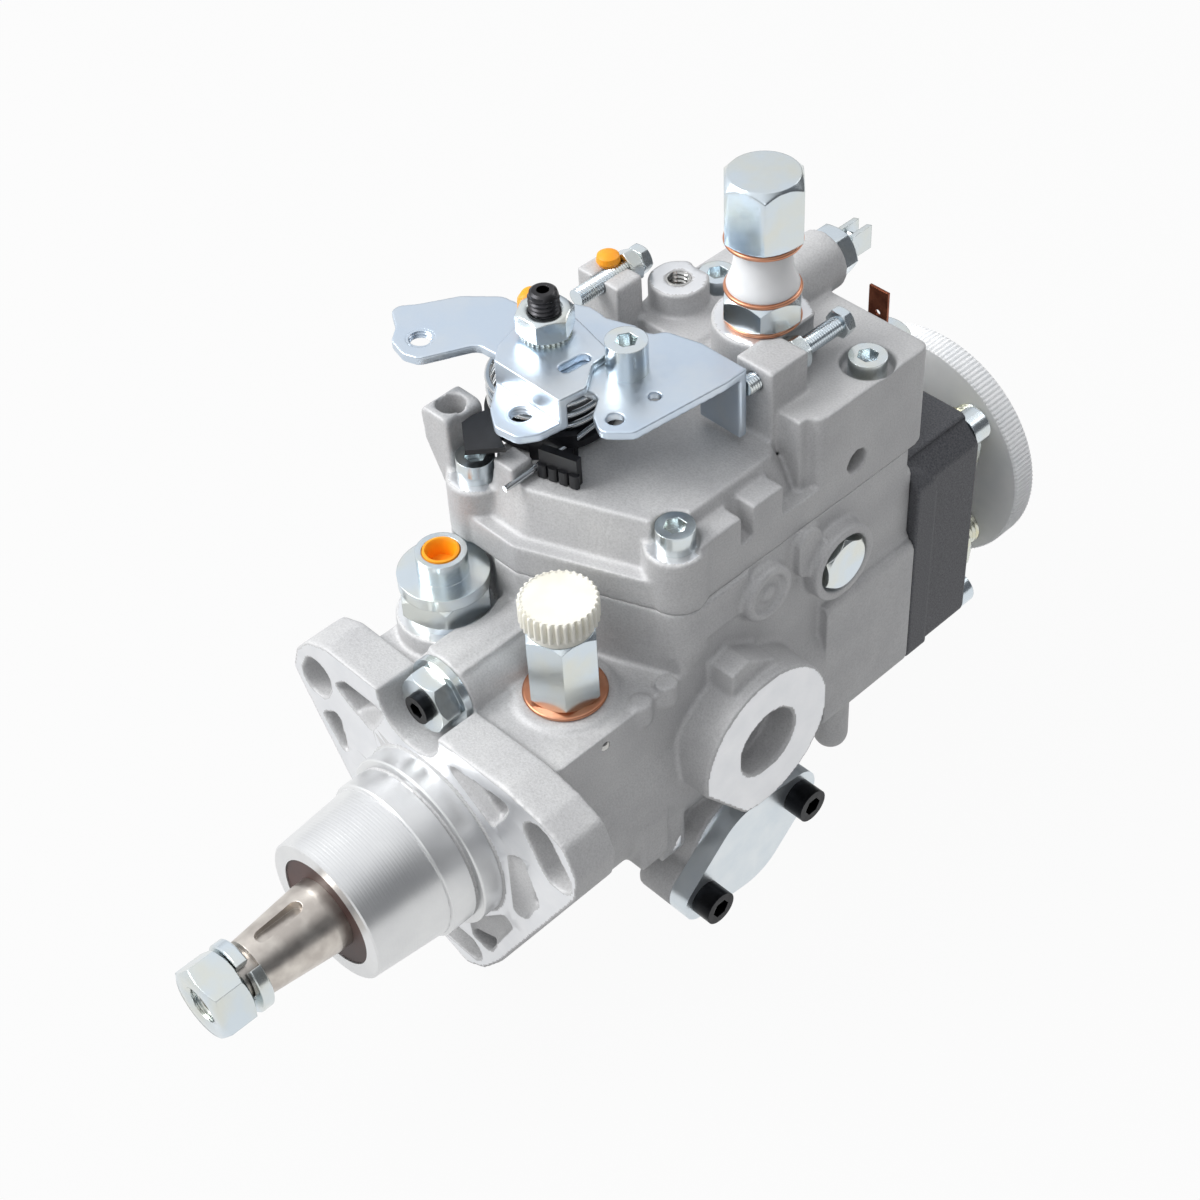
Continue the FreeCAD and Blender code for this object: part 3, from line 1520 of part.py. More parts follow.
def stop_screws():
    """Threaded rods with a hexagon head at the rear, which has a small cross hole for a seal."""
    screws = []
    for tip, tail in stop_screw_places():
        x, y, z = tail
        head = nut(stop_head_flats, (x, y - stop_head_height, z), tail)
        hole_y = y - stop_head_height / 2
        hole = rod(stop_head_hole, (x, hole_y, z - stop_head_flats), (x, hole_y, z + stop_head_flats))
        screws.append(join([rod(stop_screw_radius - 0.02, tip, tail), head]).cut(hole))
    return group(screws)


def stop_screw_nuts():
    nuts = []
    faces = (post_y + post_depth / 2, left_post_y + 3 + left_post_depth / 2)
    for face, place in zip(faces, stop_screw_places()):
        x = place[0][0]
        z = place[0][2]
        body = nut(stop_nut_flats, (x, face, z), (x, face + stop_nut_height, z), 30)
        nuts.append(body.cut(rod(stop_screw_radius, (x, face - 1, z), (x, face + 6, z))))
    return group(nuts)


def full_load_screw():
    x = full_load_x
    z = full_load_z
    stem = rod(2.98, (x, cover_back_y - 14, z), (x, full_load_boss_y + 16, z))
    collar = nut(13, (x, full_load_boss_y, z), (x, full_load_boss_y + 6, z))
    return stem.fuse(collar).removeSplitter()


# Control levers
lever_outline = [
    (-38.0, 59.5), (-44.6, 46.0), (-49.0, 44.5), (-55.0, 46.0), (-58.5, 50.5), (-66.0, 55.0),
    (-61.5, 60.5), (-56.0, 70.0), (-48.0, 77.0), (-41.0, 78.0), (-36.0, 85.5), (-28.0, 89.0),
    (-22.0, 88.5), (-15.0, 91.0), (-9.5, 91.0), (-7.6, 94.5), (2.0, lever_flange_y), (17.2, lever_flange_y),
    (17.2, 90.0), (14.0, 62.0), (8.0, 56.5), (2.0, 60.0), (-2.0, 66.0), (-12.0, 63.5),
    (-25.0, 60.5),
]


def control_lever():
    thickness = lever_thickness
    plate = outline_solid(plan(lever_outline, lever_z), 3, (0, 0, thickness))
    tab = block((3.5, lever_flange_y - thickness, lever_z - lever_flange_drop),
                (17.2, lever_flange_y, lever_z + thickness))
    body = join([plate, tab])
    holes = [(*lever_hole, lever_hole_radius), (*lever_small_hole, lever_small_radius),
             (*lever_lower_hole, lever_lower_radius), (spacer_x, spacer_y, spacer_hole_radius)]
    for x, y, radius in holes:
        body = body.cut(rod(radius, (x, y, lever_z - 1), (x, y, lever_z + thickness + 1)))
    return body.cut(control_bore(lever_z - 1, lever_z + 5))


def control_bore(low, high):
    return rod(control_radius + 0.02, (control_x, control_y, low), (control_x, control_y, high))


plate_outline = [
    (-33.0, 78.0), (-34.5, 70.0), (-32.0, 61.0), (-22.0, 48.5), (-16.0, 44.5), (-9.0, 45.5),
    (-6.0, 50.0), (-4.0, 64.0), (-9.3, 71.0), (-9.6, 77.5), (-20.0, 80.0), (-27.0, 81.5),
]


def lever_plate():
    """Upper plate, which steps down in front of the control lever."""
    left, right = plate_room_x
    low = lower_plate_z
    top = lever_z + 2 * lever_thickness
    wall_y = plate_step_y - lever_thickness
    upper = outline_solid(plan(plate_outline, lever_z + lever_thickness), 3, (0, 0, lever_thickness))
    upper = upper.common(block((left, plate_step_y - 0.5, lever_z), (right, plate_back_y, top + 1)))
    lower = outline_solid(plan(plate_outline, low), 3, (0, 0, lever_thickness))
    lower = lower.common(block((left, plate_front_y, low - 1), (right, plate_step_y, lever_z)))
    wall = outline_solid(plan(plate_outline, low), 3, (0, 0, top - low))
    wall = wall.common(block((left, wall_y, low - 1), (right, plate_step_y, top + 1)))
    body = join([upper, wall, lower])
    body = body.cut(rod(lever_hole_radius, (*plate_hole, low - 1), (*plate_hole, lever_z)))
    body = body.cut(slot(plate_slot_width, plate_slot_length, (plate_slot_x, plate_slot_y, lever_z),
                         (0.1, 1, 0), (0, 0, 2 * lever_thickness + 1)))
    return body.cut(control_bore(lever_z - 1, lever_z + 9))


def lever_stack_z():
    top = lever_z + 2 * lever_thickness
    return top, top + lever_washer_height


def lever_washer():
    low, high = lever_stack_z()
    return ring(6.5, control_radius + 0.02, (control_x, control_y, low), (control_x, control_y, high))


def lever_nut():
    low = lever_stack_z()[1]
    body = nut(lever_nut_flats, (control_x, control_y, low), (control_x, control_y, low + lever_nut_height))
    return body.cut(control_bore(low - 1, low + 10))


def control_shaft():
    """Upright shaft with its crank and pin for the governor spring."""
    stem = rod(control_radius, (control_x, control_y, crank_z + 1), (control_x, control_y, control_top_z))
    pin_x = control_x + crank_pin_x
    pin_y = control_y + crank_pin_y
    web = slot(7, math.hypot(crank_pin_x, crank_pin_y) + 7,
               (control_x + crank_pin_x / 2, control_y + crank_pin_y / 2, crank_z + 1),
               (crank_pin_x, crank_pin_y, 0), (0, 0, 3))
    pin = rod(crank_pin_radius, (pin_x, pin_y, crank_z - 4), (pin_x, pin_y, crank_z + 2))
    socket = hexagon(3, (control_x, control_y, control_top_z - 3), (control_x, control_y, control_top_z + 1))
    return join([stem, web, pin]).cut(socket)


def spring_seat():
    """Black plastic seat round the boss of the control shaft."""
    x = control_x
    y = control_y
    bore = control_boss_radius + flat_gap
    rim_z = control_boss_z + flat_gap
    plate = ring(seat_plate_radius, bore, (x, y, seat_foot_z),
                 (x, y, seat_foot_z + seat_plate_thickness))
    hub = ring(seat_hub_radius, bore, (x, y, seat_foot_z), (x, y, rim_z + 1))
    rim = ring(seat_hub_radius, control_radius + free_gap, (x, y, rim_z),
               (x, y, rim_z + seat_rim_thickness))
    half = seat_tab_width / 2
    outer = x + seat_plate_radius + seat_tab_thickness - 0.6
    tab = block((outer - seat_tab_thickness, y - half, seat_tab_low_z),
                (outer, y + half, seat_tab_high_z))
    tab.rotate(Vector(x, y, 0), Vector(0, 0, 1), -seat_tab_angle)
    return join([plate, hub, rim, tab])


def return_spring():
    low = seat_foot_z + seat_plate_thickness + free_gap
    return spring(return_coil_radius - return_coil_wire, return_coil_wire / 2, return_coil_turns,
                  (control_x, control_y, low), (0, 0, lower_plate_z - low - free_gap))


def spacer_screw():
    x = spacer_x
    y = spacer_y
    base = lever_z + lever_thickness
    head = rod(5.3, (x, y, base), (x, y, base + spacer_socket_height))
    shank = rod(2.58, (x, y, base - 6), (x, y, base + 1))
    socket = hexagon(5, (x, y, base + spacer_socket_height - 4), (x, y, base + spacer_socket_height + 1))
    return join([head, shank]).cut(socket)


def all_pieces():
    """Every node's name with its shape."""
    makers = [
        pump_housing, governor_cover, distributor_head, timing_covers, timing_cover_screws,
        front_cover_screws, long_socket_screws, shaft_seal, shaft_bushes, eccentric_ring,
        supply_pump_cover, governor_shaft, governor_shaft_locknut, pressure_regulator,
        inlet_union, inlet_cap, copper_washers, return_adaptor, return_sleeve, return_cap_nut,
        stop_screws, stop_screw_nuts, full_load_screw, stop_solenoid, delivery_valve_holders,
        transport_cap, lever_pivot_bolts, guide_lever, spring_bridge, plunger_springs,
        timing_spring, drive_shaft, shaft_nut, lock_washer, drive_gear, supply_rotor,
        supply_vanes, cross_coupling, roller_ring, rollers, timing_piston, cam_plate, plunger,
        control_spool, governor_carrier, governor_sleeve, governor_lever, governor_spring,
        control_lever, control_shaft, lever_nut, lever_washer, lever_plate, return_spring,
        spring_seat, spacer_screw,
    ]
    for maker in makers:
        yield maker.__name__, maker()
    for i in range(weight_count):
        yield "flyweight_%d" % (i + 1), flyweight(i)


os.makedirs("parts", exist_ok=True)
for name, shape in all_pieces():
    shape.exportStep("parts/%s.step" % name)
    print(name, len(shape.Solids), shape.isValid(), round(shape.Volume))
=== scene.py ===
# %% [markdown]
# # A diesel injection pump, dressed for its portrait
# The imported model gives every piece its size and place. This script rounds the castings, cuts
# the threads, coils the springs and gives each surface the finish that its metal or plastic
# has on the real pump. All lengths are in metres; `mm` turns millimetres into metres.

# %% Load the frame
import math

import bpy
import bmesh
import numpy as np
from mathutils import Matrix, Vector


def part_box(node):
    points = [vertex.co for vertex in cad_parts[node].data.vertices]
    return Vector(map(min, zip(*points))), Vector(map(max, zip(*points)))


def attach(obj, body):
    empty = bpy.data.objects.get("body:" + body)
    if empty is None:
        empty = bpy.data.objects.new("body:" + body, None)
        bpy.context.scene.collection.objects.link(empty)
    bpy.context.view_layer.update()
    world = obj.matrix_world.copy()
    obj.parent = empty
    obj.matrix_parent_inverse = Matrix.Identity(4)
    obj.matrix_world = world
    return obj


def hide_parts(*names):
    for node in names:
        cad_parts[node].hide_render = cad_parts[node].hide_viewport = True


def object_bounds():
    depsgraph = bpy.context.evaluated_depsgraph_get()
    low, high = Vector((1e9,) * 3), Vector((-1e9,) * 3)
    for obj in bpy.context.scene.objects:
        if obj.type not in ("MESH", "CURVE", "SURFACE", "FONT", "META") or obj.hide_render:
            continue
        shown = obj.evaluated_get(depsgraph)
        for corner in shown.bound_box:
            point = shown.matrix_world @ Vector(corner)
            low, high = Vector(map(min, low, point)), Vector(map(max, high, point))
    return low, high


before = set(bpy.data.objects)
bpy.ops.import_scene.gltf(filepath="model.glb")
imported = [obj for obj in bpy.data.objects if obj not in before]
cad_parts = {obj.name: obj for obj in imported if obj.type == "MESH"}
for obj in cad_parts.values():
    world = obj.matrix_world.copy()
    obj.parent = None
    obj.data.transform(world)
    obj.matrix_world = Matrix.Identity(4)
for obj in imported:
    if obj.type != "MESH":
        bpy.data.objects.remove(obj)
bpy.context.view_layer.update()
mm = 0.001

# %% [markdown]
# ## Colours and nodes
# Paint charts and photographs give colours as sRGB hex values, but a shader works with linear
# light, so one function converts them. A second one adds a shader node: settings go to the
# node itself, and its inputs take either a value or the output of another node.


# %% Helpers for materials
def linear(code):
    """sRGB hex to linear: each channel c is c / 12.92 when dark, else ((c + 0.055) / 1.055) ** 2.4."""
    channels = [int(code[i:i + 2], 16) / 255 for i in (0, 2, 4)]
    light = [c / 12.92 if c <= 0.04045 else ((c + 0.055) / 1.055) ** 2.4 for c in channels]
    return (*light, 1.0)


def add(tree, kind, inputs=None, **settings):
    """Adds a node, sets its properties, then fills its inputs with values or links."""
    node = tree.nodes.new(kind)
    for name, value in settings.items():
        setattr(node, name, value)
    for name, value in (inputs or {}).items():
        if isinstance(value, bpy.types.NodeSocket):
            tree.links.new(value, node.inputs[name])
        else:
            node.inputs[name].default_value = value
    return node


def start_material(name, metallic, roughness, ior=None):
    """New material with one Principled shader. Returns material, tree, shader and Object coordinates."""
    material = bpy.data.materials.new(name)
    material.use_nodes = True
    tree = material.node_tree
    shader = tree.nodes["Principled BSDF"]
    shader.inputs["Metallic"].default_value = metallic
    shader.inputs["Roughness"].default_value = roughness
    if ior is not None:
        shader.inputs["IOR"].default_value = ior
    where = add(tree, "ShaderNodeTexCoord").outputs["Object"]
    return material, tree, shader, where


def noise(tree, where, size, detail=2.0, rough=0.5):
    """Noise whose blobs are about `size` metres across."""
    inputs = {"Vector": where, "Scale": 1 / size, "Detail": detail, "Roughness": rough}
    return add(tree, "ShaderNodeTexNoise", inputs).outputs["Fac"]


def ramp(tree, value, low, high, start=0.3, end=0.7):
    """Colour that goes from `low` to `high` as the value goes from start to end."""
    node = add(tree, "ShaderNodeValToRGB", {"Fac": value})
    node.color_ramp.elements[0].position = start
    node.color_ramp.elements[0].color = low
    node.color_ramp.elements[1].position = end
    node.color_ramp.elements[1].color = high
    return node.outputs["Color"]


def grey(level):
    return (level, level, level, 1.0)


# %% [markdown]
# ## Cast aluminium
# The housing and the cover are die cast and then shot-blasted, which leaves a dull, even grey
# with a fine grain. Aluminium is a metal, but the blasted skin scatters light so widely that it
# looks almost like matt paint, so the roughness is high. Blast marks are about 0.15 mm across;
# they are drawn at 0.55 mm so that they still show at this distance. Milled and turned faces
# stay brighter, with the fine marks that the tool left.

# %% Cast and machined aluminium
def cast_aluminium(name, dark, pale):
    """Blasted casting: wide soft clouds of grey times a fine speckle that is also the bump."""
    material, tree, shader, where = start_material(name, 0.3, 0.55)
    cloud = noise(tree, where, 14 * mm, 4.0)
    grain = noise(tree, where, 0.55 * mm, 3.0, 0.7)
    base = ramp(tree, cloud, linear(dark), linear(pale))
    speckle = ramp(tree, grain, grey(0.78), grey(1.0), 0.3, 0.62)
    mixed = add(tree, "ShaderNodeMix", {0: 1.0, 6: base, 7: speckle},
                data_type="RGBA", blend_type="MULTIPLY")
    tree.links.new(mixed.outputs[2], shader.inputs["Base Color"])
    rough = ramp(tree, grain, grey(0.5), grey(0.68))
    tree.links.new(rough, shader.inputs["Roughness"])
    pits = add(tree, "ShaderNodeBump", {"Height": grain, "Strength": 0.7, "Distance": 0.16 * mm})
    tree.links.new(pits.outputs["Normal"], shader.inputs["Normal"])
    return material


def machined_metal(name, dark, pale, roughness, pitch, axis="Y", metallic=1.0):
    """Turned or milled metal with a tool's fine marks, `pitch` metres apart along the axis.

    A wave texture of scale s has a band every 0.314 / s metres, so s = 0.314 / pitch."""
    material, tree, shader, where = start_material(name, metallic, roughness)
    settings = {"Vector": where, "Scale": 0.314 / pitch, "Distortion": 0.6, "Detail": 2.0}
    rings = add(tree, "ShaderNodeTexWave", settings, wave_type="BANDS", bands_direction=axis)
    cloud = noise(tree, where, 9 * mm, 3.0)
    base = ramp(tree, cloud, linear(dark), linear(pale))
    tree.links.new(base, shader.inputs["Base Color"])
    marks = add(tree, "ShaderNodeBump", {"Height": rings.outputs["Fac"], "Strength": 0.25,
                                         "Distance": 0.03 * mm})
    tree.links.new(marks.outputs["Normal"], shader.inputs["Normal"])
    return material


casting = cast_aluminium("shot_blasted_aluminium", "C6C6C7", "D3D3D3")
cover_casting = cast_aluminium("shot_blasted_cover_aluminium", "C4C4C5", "D1D1D1")
turned = machined_metal("turned_aluminium", "DADBDC", "E2E3E3", 0.32, 0.5 * mm, "Y", 0.8)
cover_plate = machined_metal("ground_timing_cover_aluminium", "D9E2E8", "E6ECEF", 0.28,
                             2.0 * mm, "Z", 0.85)
milled = machined_metal("milled_aluminium", "DFE1E4", "E9EAEC", 0.34, 0.9 * mm, "DIAGONAL", 0.8)
print("aluminium finishes:", casting.name, turned.name, milled.name)

# %% [markdown]
# ## Plated and bare steel
# Nuts, screws and levers are zinc plated: bright and slightly blue, while the valve holders'
# thicker passivation shows yellow clouds. The drive shaft is ground and then hardened, which
# leaves a smoky grey-brown. A Bevel node rounds the normal at every sharp edge, so that it
# catches the light as the tumbled edges of real fasteners do.


# %% Steel finishes
def plated(name, cool, warm, roughness, edge=0.25 * mm, cloud_size=7 * mm):
    """Plated or ground steel: clouds between two colours, and edges rounded by `edge` metres."""
    material, tree, shader, where = start_material(name, 1.0, roughness)
    cloud = noise(tree, where, cloud_size, 3.0)
    base = ramp(tree, cloud, linear(cool), linear(warm), 0.4, 0.68)
    tree.links.new(base, shader.inputs["Base Color"])
    fine = noise(tree, where, 1.6 * mm, 2.0)
    soft = ramp(tree, fine, grey(roughness * 0.9), grey(roughness * 1.15))
    tree.links.new(soft, shader.inputs["Roughness"])
    rounded = add(tree, "ShaderNodeBevel", {"Radius": edge}, samples=6)
    skin = add(tree, "ShaderNodeBump", {"Height": fine, "Strength": 0.08, "Distance": 0.04 * mm,
                                        "Normal": rounded.outputs["Normal"]})
    tree.links.new(skin.outputs["Normal"], shader.inputs["Normal"])
    return material


zinc = plated("zinc_plated_steel", "D3DDE4", "D9DCD6", 0.22, 0.3 * mm, 11 * mm)
lever_zinc = plated("zinc_plated_lever_steel", "CBD8E6", "D6DDE3", 0.36, 0.15 * mm, 18 * mm)
yellow_zinc = plated("yellow_zinc_plated_steel", "D5DBDA", "D8D3B0", 0.26, 0.3 * mm, 6 * mm)
bright_steel = plated("ground_steel", "B9B9B7", "C6C3BE", 0.2)
shaft_steel = plated("hardened_shaft_steel", "BDB6AF", "D8D2CA", 0.32, cloud_size=6 * mm)
black_steel = plated("black_oxide_steel", "1B1C1E", "2A2B2D", 0.36)
dark_steel = plated("dark_phosphated_steel", "3B3B3E", "4C4B4C", 0.34)
spring_steel = plated("drawn_spring_steel", "C9CDD0", "D8D9D8", 0.16, 0.05 * mm)
print("steel finishes:", zinc.name, lever_zinc.name, shaft_steel.name)

# %% [markdown]
# ## Head steel, copper and plastics
# The distributor head is phosphated steel, nearly black and rough like fine sandpaper. The
# sealing washers are soft annealed copper. Caps and plugs are moulded nylon and polyethylene:
# the knurled inlet cap is solid ivory, the big transport cap lets some light through.


# %% Other finishes
def moulded(name, dark, pale, roughness, through=0.0, grain=0.5 * mm, depth=0.03 * mm):
    """Moulded plastic with a faint grain; `through` is how much light it lets in."""
    material, tree, shader, where = start_material(name, 0.0, roughness, 1.5)
    base = ramp(tree, noise(tree, where, 8 * mm, 2.0), linear(dark), linear(pale))
    tree.links.new(base, shader.inputs["Base Color"])
    shader.inputs["Subsurface Weight"].default_value = through
    shader.inputs["Subsurface Radius"].default_value = (3 * mm, 3 * mm, 3 * mm)
    shader.inputs["Subsurface Scale"].default_value = 1.0
    skin = add(tree, "ShaderNodeBump", {"Height": noise(tree, where, grain, 3.0),
                                        "Strength": 0.4, "Distance": depth})
    tree.links.new(skin.outputs["Normal"], shader.inputs["Normal"])
    return material


def sandy_steel():
    """Phosphated steel: a dark grain, about 0.5 mm coarse, that is colour and bump at once."""
    material, tree, shader, where = start_material("phosphated_head_steel", 0.35, 0.55)
    grain = noise(tree, where, 0.5 * mm, 4.0, 0.7)
    base = ramp(tree, grain, linear("45464A"), linear("6C6D71"), 0.35, 0.7)
    tree.links.new(base, shader.inputs["Base Color"])
    pits = add(tree, "ShaderNodeBump", {"Height": grain, "Strength": 0.8, "Distance": 0.15 * mm})
    tree.links.new(pits.outputs["Normal"], shader.inputs["Normal"])
    return material


head_steel = sandy_steel()
copper = plated("annealed_copper", "C98A6B", "D9A184", 0.32)
bronze = plated("sintered_bronze", "A8925E", "BDA874", 0.35)
ivory_nylon = moulded("ivory_nylon", "EAE7DA", "F3F1E7", 0.42, 0.25)
clear_cap = moulded("milky_polyethylene", "F0F2F3", "FAFBFB", 0.32, 0.5)
black_plastic = moulded("black_moulded_nylon", "121316", "1C1D21", 0.38)
seal_rubber = moulded("oil_seal_rubber", "3A2320", "4A2E28", 0.5)
orange_plug = moulded("orange_polyethylene", "F2960C", "FFA81C", 0.4, 0.2)

# The solenoid and its spade are one node, so its finish changes at the height of the spade.
spade_foot = 71.9 * mm
solenoid_finish = plated("zinc_can_with_brown_spade", "D3DDE4", "D9DCD6", 0.24)
tree = solenoid_finish.node_tree
shader = tree.nodes["Principled BSDF"]
where = add(tree, "ShaderNodeTexCoord").outputs["Object"]
height = add(tree, "ShaderNodeSeparateXYZ", {0: where})
spade = add(tree, "ShaderNodeMath", {0: height.outputs["Z"], 1: spade_foot}, operation="GREATER_THAN")
brown = ramp(tree, noise(tree, where, 3 * mm), linear("74402E"), linear("965A42"))
plain = shader.inputs["Base Color"].links[0].from_socket
mixed = add(tree, "ShaderNodeMix", {0: spade.outputs[0], 6: plain, 7: brown}, data_type="RGBA")
tree.links.new(mixed.outputs[2], shader.inputs["Base Color"])
print("other finishes:", head_steel.name, copper.name, ivory_nylon.name)

# %% [markdown]
# ## Turning numbers into surfaces
# Almost every new piece here is a grid: one parameter runs round an axis or a wire, the other
# runs along it. `grid_faces` joins neighbouring points into quads, and `piece` makes the
# object. Points come as whole numpy arrays, which is far quicker than adding them one by one.


# %% Mesh helpers
def grid_faces(rows, columns, close_rows=False, close_columns=True):
    """Quads (i, j), (i, j+1), (i+1, j+1), (i+1, j) over a grid of points, wrapped where closed."""
    i, j = np.meshgrid(np.arange(rows - (not close_rows)),
                       np.arange(columns - (not close_columns)), indexing="ij")
    i2, j2 = (i + 1) % rows, (j + 1) % columns
    quads = np.stack([i * columns + j, i * columns + j2, i2 * columns + j2, i2 * columns + j], -1)
    return quads.reshape(-1, 4)


def axes_along(direction):
    """Three unit vectors square to each other, the last one along the direction."""
    z = np.array(direction, float) / np.linalg.norm(direction)
    across = np.array([0, 1.0, 0]) if abs(z[0]) > 0.7 else np.array([1.0, 0, 0])
    x = across - across.dot(z) * z
    x /= np.linalg.norm(x)
    return x, np.cross(z, x), z


def turn_profile(profile, foot, direction, segments=96, ripple=None, turn=0.0):
    """Revolves (radius, height) points about an axis: p = foot + r cos t x + r sin t y + h z.

    A profile that ends where it starts gives a ring, and one between two points at radius 0 a
    solid. `ripple(t, r, h)` may change the radius by angle; t starts at `turn` degrees."""
    profile = np.array(profile, float) * mm
    x, y, z = axes_along(direction)
    t = np.linspace(0, 2 * np.pi, segments, endpoint=False) + math.radians(turn)
    r, h = np.broadcast_arrays(profile[:, :1], profile[:, 1:])
    r = np.repeat(r, segments, 1)
    h = np.repeat(h, segments, 1)
    if ripple is not None:
        r = ripple(t[None, :], r, h)
    points = (np.array(foot) * mm + r[..., None] * (np.cos(t)[:, None] * x + np.sin(t)[:, None] * y)
              + h[..., None] * z)
    return points.reshape(-1, 3), grid_faces(len(profile), segments)


def rows(radius, start, end, step=0.2):
    """Profile points at one radius, `step` mm apart, which a thread ripple can then shape."""
    count = max(2, int(round(abs(end - start) / step)) + 1)
    return [(radius, h) for h in np.linspace(start, end, count)]


def thread(pitch, near, depth=0.6):
    """Thread at the radius `near`: r - depth |2 frac(h / pitch - t / 2 pi) - 1|, in mm."""
    def ripple(t, r, h):
        wave = np.abs(2 * ((h / mm / pitch - t / (2 * np.pi)) % 1) - 1)
        return np.where(np.abs(r / mm - near) < 0.3, r - depth * mm * wave, r)
    return ripple


def hexed(flats, turn=0.0, then=None):
    """Hexagon: r = min(r, flats / 2 / cos a), where a is the angle from the nearest flat's middle."""
    def ripple(t, r, h):
        a = (t - math.radians(turn) + 1e-9) % (np.pi / 3) - np.pi / 6
        cut = np.minimum(r, flats / 2 * mm / np.cos(a))
        return cut if then is None else then(t, cut, h)
    return ripple


def nut_shell(flats, foot, direction, height, bore=0.0, turn=0.0, pitch=1.25, dome=0.0):
    """Nut or hexagon head with 30 degree chamfers. A bore gets a thread; a dome rounds the top."""
    corner = flats / 2 / math.cos(math.pi / 6)
    face = 0.47 * flats
    rise = (corner - face) * 0.577
    low = [(face + (corner - face) * s, rise * s) for s in np.linspace(0, 1, 7)]
    high = [(r, height - h * (1 + dome)) for r, h in reversed(low)]
    if bore:
        inside = rows(bore + 0.15, height - 0.5, 0.5, pitch / 8)
        profile = low + high + [(bore + 0.6, height)] + inside + [(bore + 0.6, 0), low[0]]
        ripple = hexed(flats, turn, thread(pitch, bore + 0.15, 0.55 * pitch))
    else:
        profile = [(0, 0)] + low + high + [(0, height)]
        ripple = hexed(flats, turn)
    return turn_profile(profile, foot, direction, 144, ripple, turn)


def stud_shell(radius, foot, direction, length, pitch, start=0.0, tip=0.7):
    """Threaded rod: plain up to `start`, then threaded, with a chamfered tip."""
    profile = [(0, 0), (radius, 0)] + rows(radius, start, length - tip, pitch / 8)
    profile += [(radius - tip, length), (0, length)]
    return turn_profile(profile, foot, direction, 64, thread(pitch, radius, 0.5 * pitch))


def tube_along(path, radius, segments=14):
    """Round wire along a path in mm: p + radius (cos t n + sin t b), closed at both ends."""
    path = np.array(path, float)
    tangent = np.gradient(path, axis=0)
    tangent /= np.linalg.norm(tangent, axis=1)[:, None]
    side = np.cross(tangent, [0, 0.02, 1.0])
    side /= np.linalg.norm(side, axis=1)[:, None]
    up = np.cross(side, tangent)
    t = np.linspace(0, 2 * np.pi, segments, endpoint=False)[None, :, None]
    points = path[:, None] + radius * (np.cos(t) * side[:, None] + np.sin(t) * up[:, None])
    first = np.repeat(path[:1, None], segments, 1)
    last = np.repeat(path[-1:, None], segments, 1)
    points = np.concatenate([first, points, last]) * mm
    return points.reshape(-1, 3), grid_faces(len(path) + 2, segments)


def prism(outline, low, high, axis=2):
    """Flat plate: an outline in mm between two heights along an axis, its faces fanned from a centre."""
    outline = np.array(outline, float)
    heart = np.repeat(outline.mean(0)[None], len(outline), 0)
    rings = [(heart, low), (outline, low), (outline, high), (heart, high)]
    points = np.concatenate([np.insert(ring, axis, level, axis=1) for ring, level in rings])
    return points * mm, grid_faces(4, len(outline))


def join_shells(shells):
    """One list of points and quads from several."""
    points, faces, count = [], [], 0
    for p, f in shells:
        points.append(p)
        faces.append(f + count)
        count += len(p)
    return np.concatenate(points), np.concatenate(faces)


def mesh_object(name, points, faces, materials, smooth_angle=32):
    """Makes the mesh with foreach_set, merges the poles, turns all faces outwards."""
    mesh = bpy.data.meshes.new(name)
    mesh.vertices.add(len(points))
    mesh.vertices.foreach_set("co", points.astype(np.float32).ravel())
    mesh.loops.add(faces.size)
    mesh.loops.foreach_set("vertex_index", faces.astype(np.int32).ravel())
    mesh.polygons.add(len(faces))
    width = faces.shape[1]
    mesh.polygons.foreach_set("loop_start", np.arange(0, faces.size, width, dtype=np.int32))
    mesh.update(calc_edges=True)
    work = bmesh.new()
    work.from_mesh(mesh)
    bmesh.ops.remove_doubles(work, verts=work.verts, dist=1e-6)
    bmesh.ops.dissolve_degenerate(work, edges=work.edges, dist=1e-7)
    bmesh.ops.recalc_face_normals(work, faces=work.faces)
    work.to_mesh(mesh)
    work.free()
    for material in materials:
        mesh.materials.append(material)
    mesh.shade_smooth()
    mesh.set_sharp_from_angle(angle=math.radians(smooth_angle))
    thing = bpy.data.objects.new(name, mesh)
    bpy.context.scene.collection.objects.link(thing)
    return thing


def piece(name, shells, material, body, slot, *nodes, smooth_angle=32):
    """A finished piece: its mesh, its body and the CAD nodes it stands for; the record slot `slot` is
    not used.
    """
    points, faces = join_shells(shells)
    thing = mesh_object(name, points, faces, [material], smooth_angle)
    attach(thing, body)
    if nodes:
        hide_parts(*nodes)
    print("%-24s %6d faces" % (name, len(thing.data.polygons)))
    return thing


# %% [markdown]
# ## Rounding the castings
# A casting has no sharp edge anywhere: the mould's corners are round and blasting rounds them
# more. Bevels fail on a shape cut by many holes, so a copy of the CAD mesh is rebuilt from
# small cubes (a voxel remesh), smoothed, and thinned out again where it is flat. Faces that
# were milled afterwards are then pressed back onto their exact planes, which also gives them
# a crisp border and lets them carry the milled finish.


# %% The casting function
def smooth_points(points, edges, rounds, strength=0.5):
    """Moves every point towards the mean of its neighbours: p + strength (mean - p), repeated."""
    count = np.bincount(edges.ravel(), minlength=len(points))[:, None]
    for _ in range(rounds):
        total = np.zeros_like(points)
        for axis in range(3):
            total[:, axis] = (np.bincount(edges[:, 0], points[edges[:, 1], axis], len(points))
                              + np.bincount(edges[:, 1], points[edges[:, 0], axis], len(points)))
        points = points + strength * (total / np.maximum(count, 1) - points)
    return points


def apply_modifier(thing, kind, **settings):
    """Adds a modifier, keeps its result as the mesh and drops the modifier."""
    modifier = thing.modifiers.new(kind, kind)
    for name, value in settings.items():
        setattr(modifier, name, value)
    result = thing.evaluated_get(bpy.context.evaluated_depsgraph_get())
    mesh = bpy.data.meshes.new_from_object(result)
    thing.modifiers.clear()
    thing.data = mesh


